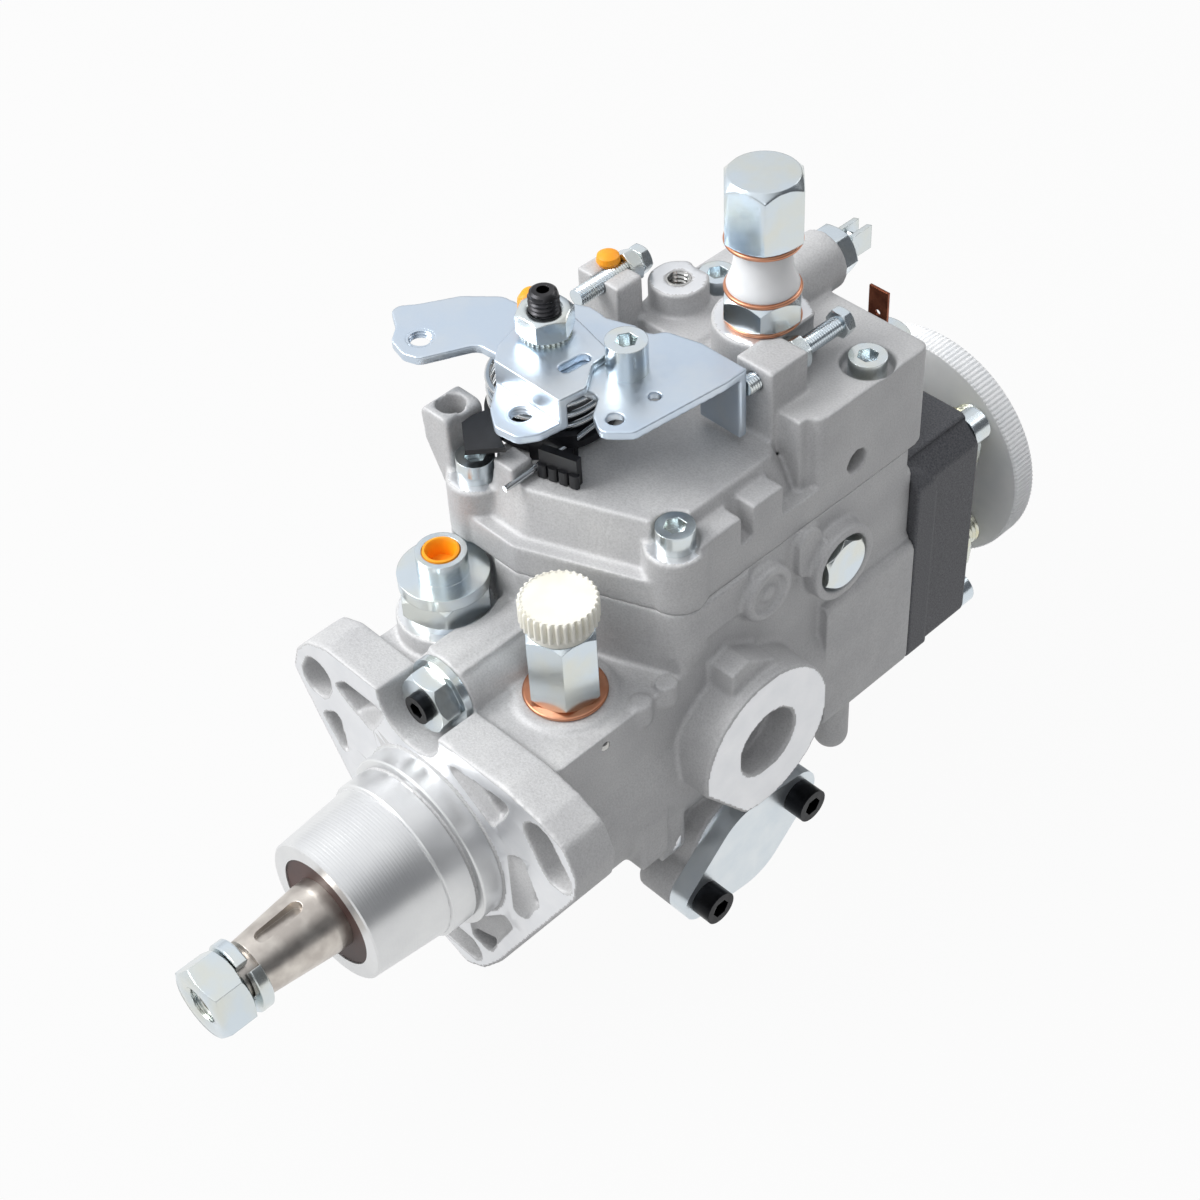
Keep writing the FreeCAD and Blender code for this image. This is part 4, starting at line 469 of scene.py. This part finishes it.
def read_points(mesh):
    points = np.empty(len(mesh.vertices) * 3)
    mesh.vertices.foreach_get("co", points)
    return points.reshape(-1, 3)


def rounded_casting(name, node, materials, voxel, rounds, lands, lumps=(), shape=None,
                    body="pump", most=190000):
    """Copy of a CAD casting with round edges and exact milled lands.

    Each land is (axis, place in mm, sign, test): points that lie near the plane, face along
    sign * axis and pass the test on (x, y, z) in mm are pressed onto it. `lumps` are shells
    that join the casting, and `shape` moves the smoothed points, in mm. Faces that lie wholly
    on a land get the second material, where there is one."""
    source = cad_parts[node].data
    work = bmesh.new()
    work.from_mesh(source)
    bmesh.ops.remove_doubles(work, verts=work.verts, dist=2e-6)
    mesh = bpy.data.meshes.new(name)
    work.to_mesh(mesh)
    work.free()
    points = read_points(mesh)
    triangles = np.array([p.vertices[:] for p in mesh.polygons if len(p.vertices) == 3])
    thing = bpy.data.objects.new(name, mesh)
    bpy.context.scene.collection.objects.link(thing)
    if len(lumps):
        extra_points, extra_faces = join_shells(lumps)
        halves = np.concatenate([extra_faces[:, [0, 1, 2]], extra_faces[:, [0, 2, 3]]])
        points = np.concatenate([points, extra_points])
        triangles = np.concatenate([triangles, halves + len(points) - len(extra_points)])
        thing.data = mesh_object(name + "_raw", points, triangles, []).data
        bpy.data.objects.remove(bpy.data.objects[name + "_raw"])
    apply_modifier(thing, "REMESH", mode="VOXEL", voxel_size=voxel, adaptivity=0.0)
    mesh = thing.data
    points = read_points(mesh)
    edges = np.empty(len(mesh.edges) * 2, np.int32)
    mesh.edges.foreach_get("vertices", edges)
    points = smooth_points(points, edges.reshape(-1, 2), rounds)
    if shape is not None:
        points = shape(points / mm) * mm
    mesh.vertices.foreach_set("co", points.astype(np.float32).ravel())
    mesh.update()
    normals = np.empty(len(points) * 3)
    mesh.vertex_normals.foreach_get("vector", normals)
    normals = normals.reshape(-1, 3)
    for axis, place, sign, test in lands:
        near = np.abs(points[:, axis] / mm - place) < 0.5
        facing = normals[:, axis] * sign > 0.9
        inside = test(points[:, 0] / mm, points[:, 1] / mm, points[:, 2] / mm)
        points[near & facing & inside, axis] = place * mm
    mesh.vertices.foreach_set("co", points.astype(np.float32).ravel())
    mesh.update()
    before = len(mesh.polygons) * 2
    if before > most:
        apply_modifier(thing, "DECIMATE", ratio=most / before)
    mesh = thing.data
    mesh.materials.clear()
    for material in materials:
        mesh.materials.append(material)
    points = read_points(mesh) / mm
    flags = np.zeros(len(points), bool)
    for axis, place, sign, test in lands:
        flags |= (np.abs(points[:, axis] - place) < 0.002) & test(*points.T)
    corners = np.empty(len(mesh.loops), np.int32)
    mesh.loops.foreach_get("vertex_index", corners)
    starts = np.empty(len(mesh.polygons), np.int32)
    mesh.polygons.foreach_get("loop_start", starts)
    whole = np.logical_and.reduceat(flags[corners], starts)
    slots = whole.astype(np.int32) * (len(materials) - 1)
    mesh.polygons.foreach_set("material_index", slots)
    mesh.shade_smooth()
    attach(thing, body)
    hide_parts(node)
    print("%-24s %6d faces from %d" % (name, len(mesh.polygons), before))
    return thing


def anywhere(x, y, z):
    """Test that every point passes."""
    return np.ones(len(x), bool)


def near_line(cx, cy, radius, first=0, second=1):
    """Test for points within a radius of an axis, by their two other coordinates in mm."""
    def test(*xyz):
        return (xyz[first] - cx) ** 2 + (xyz[second] - cy) ** 2 < radius ** 2
    return test


# %% [markdown]
# ## The housing
# The flange, the snout and the round side boss are machined. The snout is turned to size, and
# a separate exact surface of revolution shows that better than the rounded copy, so the copy
# is drawn in a little underneath it. Small forms of the casting, such as the column under a
# cover screw and the stubs and pads on its flank, join it as shells before the remesh.

# %% Housing and snout
def draw_in_snout(points):
    """In front of the flange face the radius becomes r - 0.6 mm, so that the turned skin covers it.

    Behind y = 108 mm the wall above z = 24.5 mm steps in to x = 33.6 mm, round the pivot's boss."""
    r = np.hypot(points[:, 0], points[:, 2])
    front = (points[:, 1] < -0.4) & (r > 14)
    scale = np.where(front, (r - 0.6) / np.maximum(r, 1), 1.0)
    points[:, 0] *= scale
    points[:, 2] *= scale
    points[:, 1] = np.where(front & (points[:, 1] < -36), points[:, 1] + 0.5, points[:, 1])
    x, y, z = points.T
    boss = np.hypot(y - 112, z - 40) < 11.6
    wall = 33.6
    sunk = (x > wall) & (z > 24.5) & (y > 108) & ~boss
    points[:, 0] = np.where(sunk, wall + (x - wall) * 0.12, x)
    return points


voxel = 0.6 * mm
rounds = 3
pivot_at = (112, 40)
housing_lands = [
    (1, 0.0, -1, anywhere),
    (0, 45.0, 1, near_line(75.4, 6.4, 24, 1, 2)),
    (2, 42.0, 1, near_line(-24, 30, 14)),
    (0, 35.0, 1, near_line(73.4, -37.5, 28, 1, 2)),
    (0, -35.0, -1, near_line(73.4, -37.5, 28, 1, 2)),
]


def stadium(cx, cy, radius, half, angle=90.0):
    """Oblong outline: two half circles, `half` mm from the centre to each side along the angle."""
    t = np.radians(np.linspace(-90, 270, 49)[:-1])
    shift = np.where(np.cos(t) >= -1e-9, half, -half)
    flat = np.stack([radius * np.cos(t) + shift, radius * np.sin(t)], -1)
    a = math.radians(angle)
    spin = np.array([[math.cos(a), math.sin(a)], [-math.sin(a), math.cos(a)]])
    return flat @ spin + (cx, cy)


def box(low, high):
    """Closed block between two corners in mm."""
    (x1, y1, z1), (x2, y2, z2) = low, high
    return prism([(x1, y1), (x2, y1), (x2, y2), (x1, y2)], z1, z2)


column = [(0, 34.3), (3.2, 34.7), (5.8, 36.3), (7.4, 38.8), (8, 42), (8, 57), (0, 57)]
ringed = [(0, 30), (8.2, 30), (8.2, 36), (7.6, 36.9), (6.0, 36.9), (5.3, 35.3), (2.6, 35.3),
          (2.2, 36.4), (0, 36.5)]
stub = [(0, 28.5), (1.8, 28.9), (2.9, 30.6), (3.0, 32), (3.0, 37), (0, 37)]
housing_lumps = [
    turn_profile(column, (26.3, 62.3, 0), (0, 0, 1)),
    turn_profile(ringed, (0, 85, 47), (1, 0, 0)),
    turn_profile(stub, (31.5, 43.5, 0), (0, 0, 1), 32),
    turn_profile(stub, (32.5, 51.5, 1.5), (0, 0, 1), 32),
    prism(stadium(101.4, 49.2, 4.4, 3.4), 30, 35.4, axis=0),
    prism([(66, 27), (79, 22), (82, 30), (72, 36.5), (66, 35)], 30, 41.5, axis=0),
    box((28, 64.5, 45), (34.2, 80, 56.9)),
]
rounded_casting("housing_casting", "pump_housing", [casting, milled], voxel,
                rounds, housing_lands, housing_lumps, draw_in_snout)

snout_taper = [(20.2 + 1.8 * s, -36.6 + 21.4 * s) for s in np.linspace(0, 1, 144)]
snout_profile = [
    (15.6, -36.2), (15.6, -37.0), (19.7, -37.0), *snout_taper, (22.7, -15.0),
    (23.0, -14.6), (23.0, -7.7), (22.3, -7.4), (22.3, -6.7), (24.6, -6.5), (25.0, -6.1),
    (25.0, -0.6), (24.5, 0.1), (20, 0.1), (20, -36.2),
]


def turning_marks(t, r, h):
    """Feed marks of the lathe: r + 0.012 mm sin(2 pi h / 0.9 mm) on the long taper."""
    return r + 0.012 * mm * np.sin(2 * np.pi * h / (0.9 * mm)) * (h < -15.1 * mm) * (r > 20 * mm)


piece("snout_skin", [turn_profile(snout_profile, (0, 0, 0), (0, 1, 0), 160, turning_marks)],
      turned, "pump", "housing_casting", smooth_angle=20)

# %% [markdown]
# ## The governor cover
# The cover is a second casting of the same alloy, blasted a little darker. Its bosses under
# screws and fittings are milled.

# %% Cover
cover_lands = [
    (2, 98.5, 1, near_line(3, 118, 14)),
    (2, 73.6, 1, near_line(26.3, 62.3, 9)),
    (2, 73.6, 1, near_line(-27.9, 47.0, 9)),
    (1, 155.0, 1, near_line(-9.4, 90, 10, 0, 2)),
    (2, 95.0, 1, near_line(-26.8, 118.4, 9)),
]
rounded_casting("cover_casting", "governor_cover", [cover_casting, milled],
                voxel, rounds, cover_lands)

# %% [markdown]
# ## Shaft nut and spring washer
# The big M12 nut is turned hexagon bar, so its chamfers meet the flats in six arcs. A hexagon
# cut into a turned cone gives these arcs by itself: the radius at each angle is the smaller of
# the cone's and the flat's. The spring washer is one turn of square bar whose ends don't meet.

# %% Shaft nut and spring washer
piece("shaft_nut_m12", [nut_shell(19, (0, -76, 0), (0, 1, 0), 10, 5.35, 12, 1.75)], zinc, "shaft",
      "plain_steel", "shaft_nut")


def split_washer(inner, outer, start, thick, rise, slit, half_gap=8, corner=0.35):
    """One helical turn of bar about Y: y = start + rise * share of the turn + place in the section."""
    angle = np.radians(np.linspace(slit + half_gap, slit + 360 - half_gap, 97))
    section = np.array([(inner, corner), (inner + corner, 0), (outer - corner, 0), (outer, corner),
                        (outer, thick - corner), (outer - corner, thick),
                        (inner + corner, thick), (inner, thick - corner)])
    heart = np.repeat(section.mean(0)[None], len(section), 0)
    sections = np.concatenate([heart[None], np.repeat(section[None], len(angle), 0), heart[None]])
    angle = np.concatenate([angle[:1], angle, angle[-1:]])[:, None]
    climb = start + rise * (angle - angle[0]) / (angle[-1] - angle[0])
    r, h = sections[..., 0], sections[..., 1]
    points = np.stack([r * np.cos(angle), h + climb, r * np.sin(angle)], -1) * mm
    return points.reshape(-1, 3), grid_faces(len(angle), len(section))


piece("spring_washer", [split_washer(6.6, 10.2, -65.9, 3.4, 1.85, 60)], zinc, "shaft",
      "plain_steel", "lock_washer")

# %% [markdown]
# ## Return stack
# A cap nut clamps a nylon sleeve and three copper washers on the adaptor's threaded neck. The
# washers have been squeezed, so their rims bulge; the sleeve is waisted and flares at its foot.
# The inlet has a copper washer too, and each of the two pivot bolts a flat one.

# %% Return stack
stack_at = (3.0, 118.0)
inlet_at = (15.5, 33.3)
piece("return_nut", [nut_shell(19, (*stack_at, 122.6), (0, 0, 1), 18, 0, 14, dome=0.9)], zinc,
      "pump", "zinc_steel", "return_cap_nut")
waist = [(5.1, 0), (9.1, 0), (9.2, 0.6), (8.5, 2.4), (7.7, 5.0), (7.3, 8.0), (7.2, 11.0),
         (7.5, 12.6), (7.3, 13.0), (5.1, 13.0), (5.1, 0)]
piece("nylon_sleeve", [turn_profile(waist, (*stack_at, 108.4), (0, 0, 1))], clear_cap, "pump",
      "white_plastic", "return_sleeve")


def squeezed_washer(inner, outer, x, y, z):
    """Flat ring 1.2 mm thick whose rim is a half circle, as a crushed copper washer's is."""
    rim = np.radians(np.linspace(-90, 90, 9))
    edge = [(outer - 0.6 + 0.6 * math.cos(a), 0.6 + 0.6 * math.sin(a)) for a in rim]
    return turn_profile([(inner, 0)] + edge + [(inner, 1.2), (inner, 0)], (x, y, z), (0, 0, 1))


washers = [squeezed_washer(5.6, 9.9, *stack_at, z) for z in (98.5, 107.2, 121.4)]
washers.append(squeezed_washer(6.6, 10.8, *inlet_at, 37.0))
flat_ring = [(6.2, 0), (8.3, 0), (8.3, 0.9), (6.2, 0.9), (6.2, 0)]
washers += [turn_profile(flat_ring, (side * 33.05, *pivot_at), (side, 0, 0)) for side in (1, -1)]
piece("crushed_washers", washers, copper, "pump", "copper", "copper_washers")

# %% [markdown]
# ## Inlet cap and transport cap
# Both caps only keep dirt out. The inlet cap has 32 moulded teeth for the fingers; the big cap
# over the outlets has fine ribs round its rim. A ripple of the radius with the angle draws both.


# %% Caps
def toothed(count, depth, near):
    """Rounded teeth on the rim: r - depth (0.5 - 0.5 cos(count t)) ** 1.5 beyond the radius `near`."""
    def ripple(t, r, h):
        wave = (0.5 - 0.5 * np.cos(count * t)) ** 1.5
        return np.where(r / mm > near, r - depth * mm * wave, r)
    return ripple


cap_profile = [(6.1, 0), (8.3, 0), (8.5, 0.3), (8.5, 2.3), (9.6, 2.5), (10, 2.9), (10, 8.5),
               (9.6, 9), (9.2, 9), (9.0, 8.8), (0, 8.9), (0, 7.2), (6.1, 7.2), (6.1, 0)]
piece("toothed_cap", [turn_profile(cap_profile, (*inlet_at, 60.2), (0, 0, 1), 384,
                                   toothed(32, 1.0, 9.55))],
      ivory_nylon, "pump", "white_plastic", "inlet_cap")
front_y, back_y = (corner[1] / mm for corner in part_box("transport_cap"))
ribbed = [(0, front_y), (35.4, front_y), (36, front_y + 0.5), (36, back_y - 0.5),
          (35.4, back_y), (31.5, back_y), (31, back_y - 1.2), (0, back_y - 1.2)]
piece("ribbed_cap", [turn_profile(ribbed, (0, 0, 10), (0, 1, 0), 960, toothed(160, 0.5, 35.9))],
      clear_cap, "pump", "white_plastic", "transport_cap")

# %% [markdown]
# ## Screws, studs and their threads
# A thread is a ripple that moves along the rod by one pitch each turn. Eight rows of points to
# a pitch are enough to give it sharp crests. The stop screws are M5, the full-load screw M6
# and the control stud M8. Inside the cover the stud ends in an arm with a pin.

# %% Threads
stops = [((16.2, 97.3, 95.0), 36.7, 16.2, 113.5), ((-37.0, 92.0, 98.0), 24.0, -37.0, 108.5)]
stop_shells, nut_shells = [], []
for tip, length, x, nut_y in stops:
    stop_shells.append(stud_shell(2.48, tip, (0, 1, 0), length - 3.2, 0.8, 0.3, 0.1))
    stop_shells.append(nut_shell(7, (x, tip[1] + length - 3.2, tip[2]), (0, 1, 0), 3.2))
    nut_shells.append(nut_shell(8, (x, nut_y, tip[2]), (0, 1, 0), 4.0, 2.45, 30, 0.8))
piece("stop_screw_rods", stop_shells, zinc, "pump", "zinc_steel", "stop_screws")
piece("stop_screw_locknuts", nut_shells, zinc, "pump", "zinc_steel", "stop_screw_nuts")
load_shells = [stud_shell(2.98, (-9.4, 134, 90), (0, 1, 0), 32.5, 1.0, 20.0),
               nut_shell(13, (-9.4, 155, 90), (0, 1, 0), 6.0),
               prism([(-2.9, 164), (-1.6, 163), (-1.6, 170.8), (-2.9, 170.2)], 86.4, 93.6)]
load_shells[2][0][:, 0] += -9.4 * mm
load_shells.append((load_shells[2][0] + np.array([4.5, 0, 0]) * mm, load_shells[2][1]))
piece("full_load_rod", load_shells, zinc, "pump", "zinc_steel", "full_load_screw")
control_at = (-26.5, 72)
stud_thread = thread(1.25, 4.0, 0.65)
stud_profile = [(0, 63), (4, 63), (4, 104.9)] + rows(4.0, 105, 115.6, 0.15)
stud_profile += [(3.5, 116.5), (2.8, 117), (1.6, 117), (1.6, 114.5), (0, 114.5)]
stud = [turn_profile(stud_profile, (*control_at, 0), (0, 0, 1), 72,
                     lambda t, r, h: np.where(h > 104.95 * mm, stud_thread(t, r, h), r)),
        prism(stadium(-22, 75.75, 3.5, 5.86, math.degrees(math.atan2(7.5, 9))), 63, 66),
        turn_profile([(0, 58), (2, 58), (2, 64), (0, 64)], (-17.5, 79.5, 0), (0, 0, 1), 32)]
piece("control_stud", stud, dark_steel, "control", "plain_steel", "control_shaft")
piece("control_nut", [nut_shell(13, (*control_at, 105), (0, 0, 1), 6.5, 4.1, 0, 1.25)], zinc,
      "control", "zinc_steel", "lever_nut")


def toothed_washer(t, r, h):
    """Serrated rim: r - 0.5 mm |sin 15 t| on the outer edge."""
    return np.where(r > 6 * mm, r - 0.5 * mm * np.abs(np.sin(15 * t)), r)


piece("serrated_washer", [turn_profile([(4.1, 0), (6.5, 0), (6.5, 1), (4.1, 1), (4.1, 0)],
                                       (*control_at, 104), (0, 0, 1), 240, toothed_washer)],
      yellow_zinc, "control", "zinc_steel", "lever_washer")

# %% [markdown]
# ## Pressed levers and the distributor head
# The levers are blanked and bent from sheet, so their edges and bends are round. The head is a
# steel block with an arched step milled into both flanks. The same remesh gives both.

# %% Levers and head
fine = 0.32 * mm
rounded_casting("lever_pressing", "control_lever", [lever_zinc], fine, 3,
                [(2, 101.5, 1, anywhere), (2, 99.0, -1, anywhere)], body="control", most=90000)
rounded_casting("plate_pressing", "lever_plate", [lever_zinc], fine, 4,
                [(2, 104.0, 1, anywhere), (2, 97.0, 1, anywhere)], body="control", most=90000)


def arched_step(points):
    """Behind an arch the flanks are 1.1 mm lower: y > 152 - 8 (1 - sqrt(1 - u^2)) mm, where u
    grows from 0 at z = 35 mm to 1 at z = 47 mm."""
    x, y, z = points.T
    u = np.clip((z - 35) / 12, 0, 1)
    behind = (y > 152 - 8 * (1 - np.sqrt(1 - u * u))) & (np.abs(x) > 30) & (np.abs(z - 11) < 40)
    points[:, 0] = np.where(behind, x - 1.1 * np.sign(x), x)
    return points


rounded_casting("head_block", "distributor_head", [head_steel], voxel, 2, (),
                shape=arched_step, most=120000)

# %% [markdown]
# ## Threads in the levers' holes
# Each tapped hole shows bright crests inside. They are thin threaded rings set into the holes.


# %% Tapped rings
def tapped_ring(x, y, low, high, radius, pitch=1.0):
    """Ring with an inner thread: its inner wall is rippled, its outer wall lies in the hole's wall."""
    inside = rows(radius - 0.1, high, low, pitch / 8)
    profile = [(radius + 0.25, low), (radius + 0.25, high)] + inside + [(radius + 0.25, low)]
    return turn_profile(profile, (x, y, 0), (0, 0, 1), 72, thread(pitch, radius - 0.1, 0.55))


piece("tapped_lever_holes", [tapped_ring(-50.5, 51.7, 99.05, 101.45, 3.4),
                             tapped_ring(-14.7, 52.0, 94.55, 96.95, 3.4)],
      lever_zinc, "control", "zinc_steel")
piece("tapped_cover_hole", [tapped_ring(-26.8, 118.4, 80.2, 94.9, 3.2, 1.25)], bright_steel, "pump",
      "cover_casting")

# %% [markdown]
# ## Return spring and its wire tail
# The torsion spring that closes the lever is hard-drawn wire, 1.7 mm thick. Its path is a
# helix, r (cos t, sin t) with the height growing by one pitch a turn; the lower end runs off
# straight to the hook post that takes the spring's force.

# %% Return spring
coil_radius, wire_radius, coil_low, coil_rise = 15.3, 0.85, 83.15, 10.2
turns = np.linspace(0, 2 * np.pi * 3, 217)
helix = np.stack([control_at[0] + coil_radius * np.cos(turns),
                  control_at[1] + coil_radius * np.sin(turns),
                  coil_low + coil_rise * turns / turns[-1]], -1)
leg = np.array([(-12.5, 43, 80.2), (-12.4, 47, 80.4), (-12.2, 51, 80.8), (-11.8, 57, 81.6),
                (-11.4, 63, 82.4), (-11.2, 68, 82.9)])
piece("return_coil", [tube_along(np.concatenate([leg, helix]), wire_radius)], spring_steel, "pump",
      "spring_steel", "return_spring")

# %% [markdown]
# ## Guard plate and ribs of the spring seat
# A flat black wing grows out of the seat towards the lug, and an upright shield in front of the
# coil carries four moulded ribs at its foot.

# %% Wing and ribs
wing = [(-32.5, 47.6), (-32.6, 51.4), (-31.6, 55.2), (-24.4, 51.5), (-17.5, 48.6), (-24.0, 41.0)]
seat_parts = [prism(wing, 85.6, 87.1), box((-31.2, 53.4, 80.6), (-26, 55.2, 86.9)),
              prism([(-10.9, 53.2), (-0.6, 56.1), (-1.1, 58.2), (-11.4, 55.3)], 79.3, 87.6),
              prism([(-10.6, 55), (-4, 57), (-10.5, 64.5), (-15, 60)], 80.2, 82.2)]
for share in (0.08, 0.36, 0.64, 0.92):
    rib = stadium(-10.9 + 10.3 * share, 53.2 + 2.9 * share, 0.9, 0.5, 15.7)
    seat_parts.append(prism(rib, 79.3, 83.2))
piece("seat_wing", seat_parts, black_plastic, "pump", "black_plastic")

# %% [markdown]
# ## Dust plugs and the sealing ball
# Orange polyethylene plugs close openings for transport, and an orange bead by the lever's nut
# rides with the levers. A steel ball, pressed into a drilled passage, closes it for good.

# %% Plugs and ball
plug = [(0, 57.2), (3.0, 57.4), (3.5, 61.0), (4.1, 61.9), (4.7, 61.8), (4.95, 61.0), (4.9, 55.2),
        (0, 55.2)]
blob = [(0, -1.5), (2.6, -1.4), (3.2, -0.2), (2.9, 1.3), (1.6, 2.1), (0, 2.2)]
piece("orange_plugs", [turn_profile(plug, (-24, 30, 0), (0, 0, 1)),
                       turn_profile(blob, (-39.6, 106.0, 101.4), (0, 0, 1))],
      orange_plug, "pump", "white_plastic")
bead = [(0, -3.4), (2.4, -3.4), (3.5, -1.5), (3.6, 1.5), (2.8, 3.6), (1.4, 4.4), (0, 4.5)]
piece("orange_lever_bead", [turn_profile(bead, (-34.2, 74.6, 107.2), (0.25, -0.1, 1))],
      orange_plug, "control", "white_plastic")
arc = np.radians(np.linspace(-90, 90, 25))
piece("sealing_ball", [turn_profile(np.stack([2.0 * np.cos(arc), 2.0 * np.sin(arc)], -1),
                                    (31.6, 29.8, 32.6), (1, 0, 0), 48)],
      bright_steel, "pump", "plain_steel")

# %% [markdown]
# ## Finishes for the pieces that keep their CAD shape
# Fasteners, shafts and gears already have their true shape. They only need the right finish,
# which goes into the material slots of their own objects. The valve holders get new shells
# with threads first, because their necks are in plain view from behind.

# %% Dress the CAD nodes
valve_shells = []
for x in (-19, 19):
    for z in (-9.5, 29.5):
        valve_shells.append(nut_shell(17, (x, 170, z), (0, 1, 0), 12, turn=30))
        valve_shells.append(stud_shell(5.98, (x, 161, z), (0, 1, 0), 31, 1.5, 9.0))
piece("valve_holders", valve_shells, yellow_zinc, "pump", "zinc_steel", "delivery_valve_holders")
groups = {
    cover_plate: "timing_covers",
    black_steel: "timing_cover_screws governor_shaft",
    black_plastic: "spring_seat",
    seal_rubber: "shaft_seal",
    bronze: "shaft_bushes",
    shaft_steel: "drive_shaft",
    solenoid_finish: "stop_solenoid",
    spring_steel: "plunger_springs timing_spring governor_spring",
    zinc: "front_cover_screws long_socket_screws governor_shaft_locknut pressure_regulator"
          " inlet_union return_adaptor lever_pivot_bolts spacer_screw",
    bright_steel: "eccentric_ring supply_pump_cover guide_lever spring_bridge drive_gear"
                  " supply_rotor supply_vanes cross_coupling cam_plate plunger governor_carrier"
                  " flyweight_1 flyweight_2 flyweight_3 flyweight_4 governor_sleeve governor_lever"
                  " control_spool timing_piston roller_ring rollers",
}
finishes = {name: material for material, names in groups.items() for name in names.split()}
for node_name, material in finishes.items():
    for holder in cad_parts[node_name].material_slots:
        holder.material = material
print("dressed", len(finishes), "CAD nodes")

# %% [markdown]
# ## Floor, light and camera
# A white floor that camera and mirror rays see as plain white, a sky that is brightest above and
# to the left, and three large soft lamps give the light of a catalogue photograph: pale tops and
# darker right sides. The camera itself sees a plain pale backdrop instead of the sky. It stands
# where the photographer's did: above the drive end, a little to the right, with a long lens.

# %% Floor
floor_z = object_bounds()[0].z - 0.3 * mm
half = 6.0
floor_points = np.array([(x, y, floor_z) for x, y in
                         ((-half, -half), (half, -half), (half, half), (-half, half))])
floor_finish = bpy.data.materials.new("white_studio_floor")
floor_finish.use_nodes = True
tree = floor_finish.node_tree
matt = tree.nodes["Principled BSDF"]
matt.inputs["Base Color"].default_value = grey(0.3)
matt.inputs["Roughness"].default_value = 0.9
path = add(tree, "ShaderNodeLightPath")
seen = add(tree, "ShaderNodeMath", {0: path.outputs["Is Camera Ray"], 1: path.outputs["Is Glossy Ray"]},
           operation="MAXIMUM")
seen = add(tree, "ShaderNodeMath", {0: seen.outputs[0], 1: path.outputs["Is Transmission Ray"]},
           operation="MAXIMUM")
share = add(tree, "ShaderNodeMath", {0: seen.outputs[0], 1: 0.95}, operation="MULTIPLY")
white = add(tree, "ShaderNodeEmission", {"Color": grey(1.0), "Strength": 1.0})
blend = add(tree, "ShaderNodeMixShader", {0: share.outputs[0], 1: matt.outputs[0],
                                          2: white.outputs[0]})
tree.links.new(blend.outputs[0], tree.nodes["Material Output"].inputs["Surface"])
floor = mesh_object("studio_floor", floor_points, np.array([[0, 1, 2, 3]]), [floor_finish])

# %% Sky and lamps
world = bpy.data.worlds.new("studio_sky")
bpy.context.scene.world = world
world.use_nodes = True
sky = world.node_tree.nodes["Background"]
tree = world.node_tree
brightest = (-0.5, -0.3, 0.81)
ray = add(tree, "ShaderNodeTexCoord").outputs["Generated"]
facing = add(tree, "ShaderNodeVectorMath", {0: ray, 1: brightest}, operation="DOT_PRODUCT")
glow = ramp(tree, facing.outputs["Value"], (0.14, 0.145, 0.155, 1), (1.0, 1.01, 1.03, 1), 0.1, 0.6)
seen = add(tree, "ShaderNodeLightPath").outputs["Is Camera Ray"]
backdrop = add(tree, "ShaderNodeMix", {0: seen, 6: glow, 7: grey(0.97)}, data_type="RGBA")
tree.links.new(backdrop.outputs[2], sky.inputs["Color"])
sky.inputs["Strength"].default_value = 1.0


def lamp(name, place, target, size, watts):
    """Soft rectangular lamp at a place, turned towards a target, all in metres."""
    data = bpy.data.lights.new(name, "AREA")
    data.shape = "RECTANGLE"
    data.size, data.size_y = size
    data.energy = watts
    holder = bpy.data.objects.new(name, data)
    bpy.context.scene.collection.objects.link(holder)
    holder.location = place
    holder.rotation_mode = "QUATERNION"
    holder.rotation_quaternion = (Vector(target) - Vector(place)).to_track_quat("-Z", "Y")


middle = (0.0, 0.06, 0.02)
lamp("key_softbox", (-0.75, -0.7, 1.05), middle, (0.8, 0.8), 17.0)
lamp("fill_softbox", (0.9, -0.9, 0.9), middle, (0.6, 0.5), 1.0)
lamp("back_softbox", (0.2, 1.2, 0.9), middle, (0.9, 0.4), 3.0)
print("floor at", round(floor_z / mm, 1), "mm")

# %% Camera
azimuth, elevation, roll = math.radians(48.2), math.radians(44.5), math.radians(-3.6)
right = Vector((math.cos(azimuth), math.sin(azimuth), 0))
up = Vector((-math.sin(azimuth) * math.sin(elevation), math.cos(azimuth) * math.sin(elevation),
             math.cos(elevation)))
back = Vector((math.sin(azimuth) * math.cos(elevation), -math.cos(azimuth) * math.cos(elevation),
               math.sin(elevation)))
camera_x = right * math.cos(roll) + up * math.sin(roll)
camera_y = -right * math.sin(roll) + up * math.cos(roll)
camera_data = bpy.data.cameras.new("camera")
camera_data.sensor_width = 36
camera_data.lens = 66.0
camera = bpy.data.objects.new("camera", camera_data)
bpy.context.scene.collection.objects.link(camera)
turn = Matrix((camera_x, camera_y, back)).transposed().to_4x4()
camera.matrix_world = Matrix.Translation(Vector((299.9, -207.7, 433.7)) * mm) @ turn
bpy.context.scene.camera = camera
bpy.context.scene.view_settings.view_transform = "Standard"
print("camera at", [round(c, 3) for c in camera.matrix_world.translation])
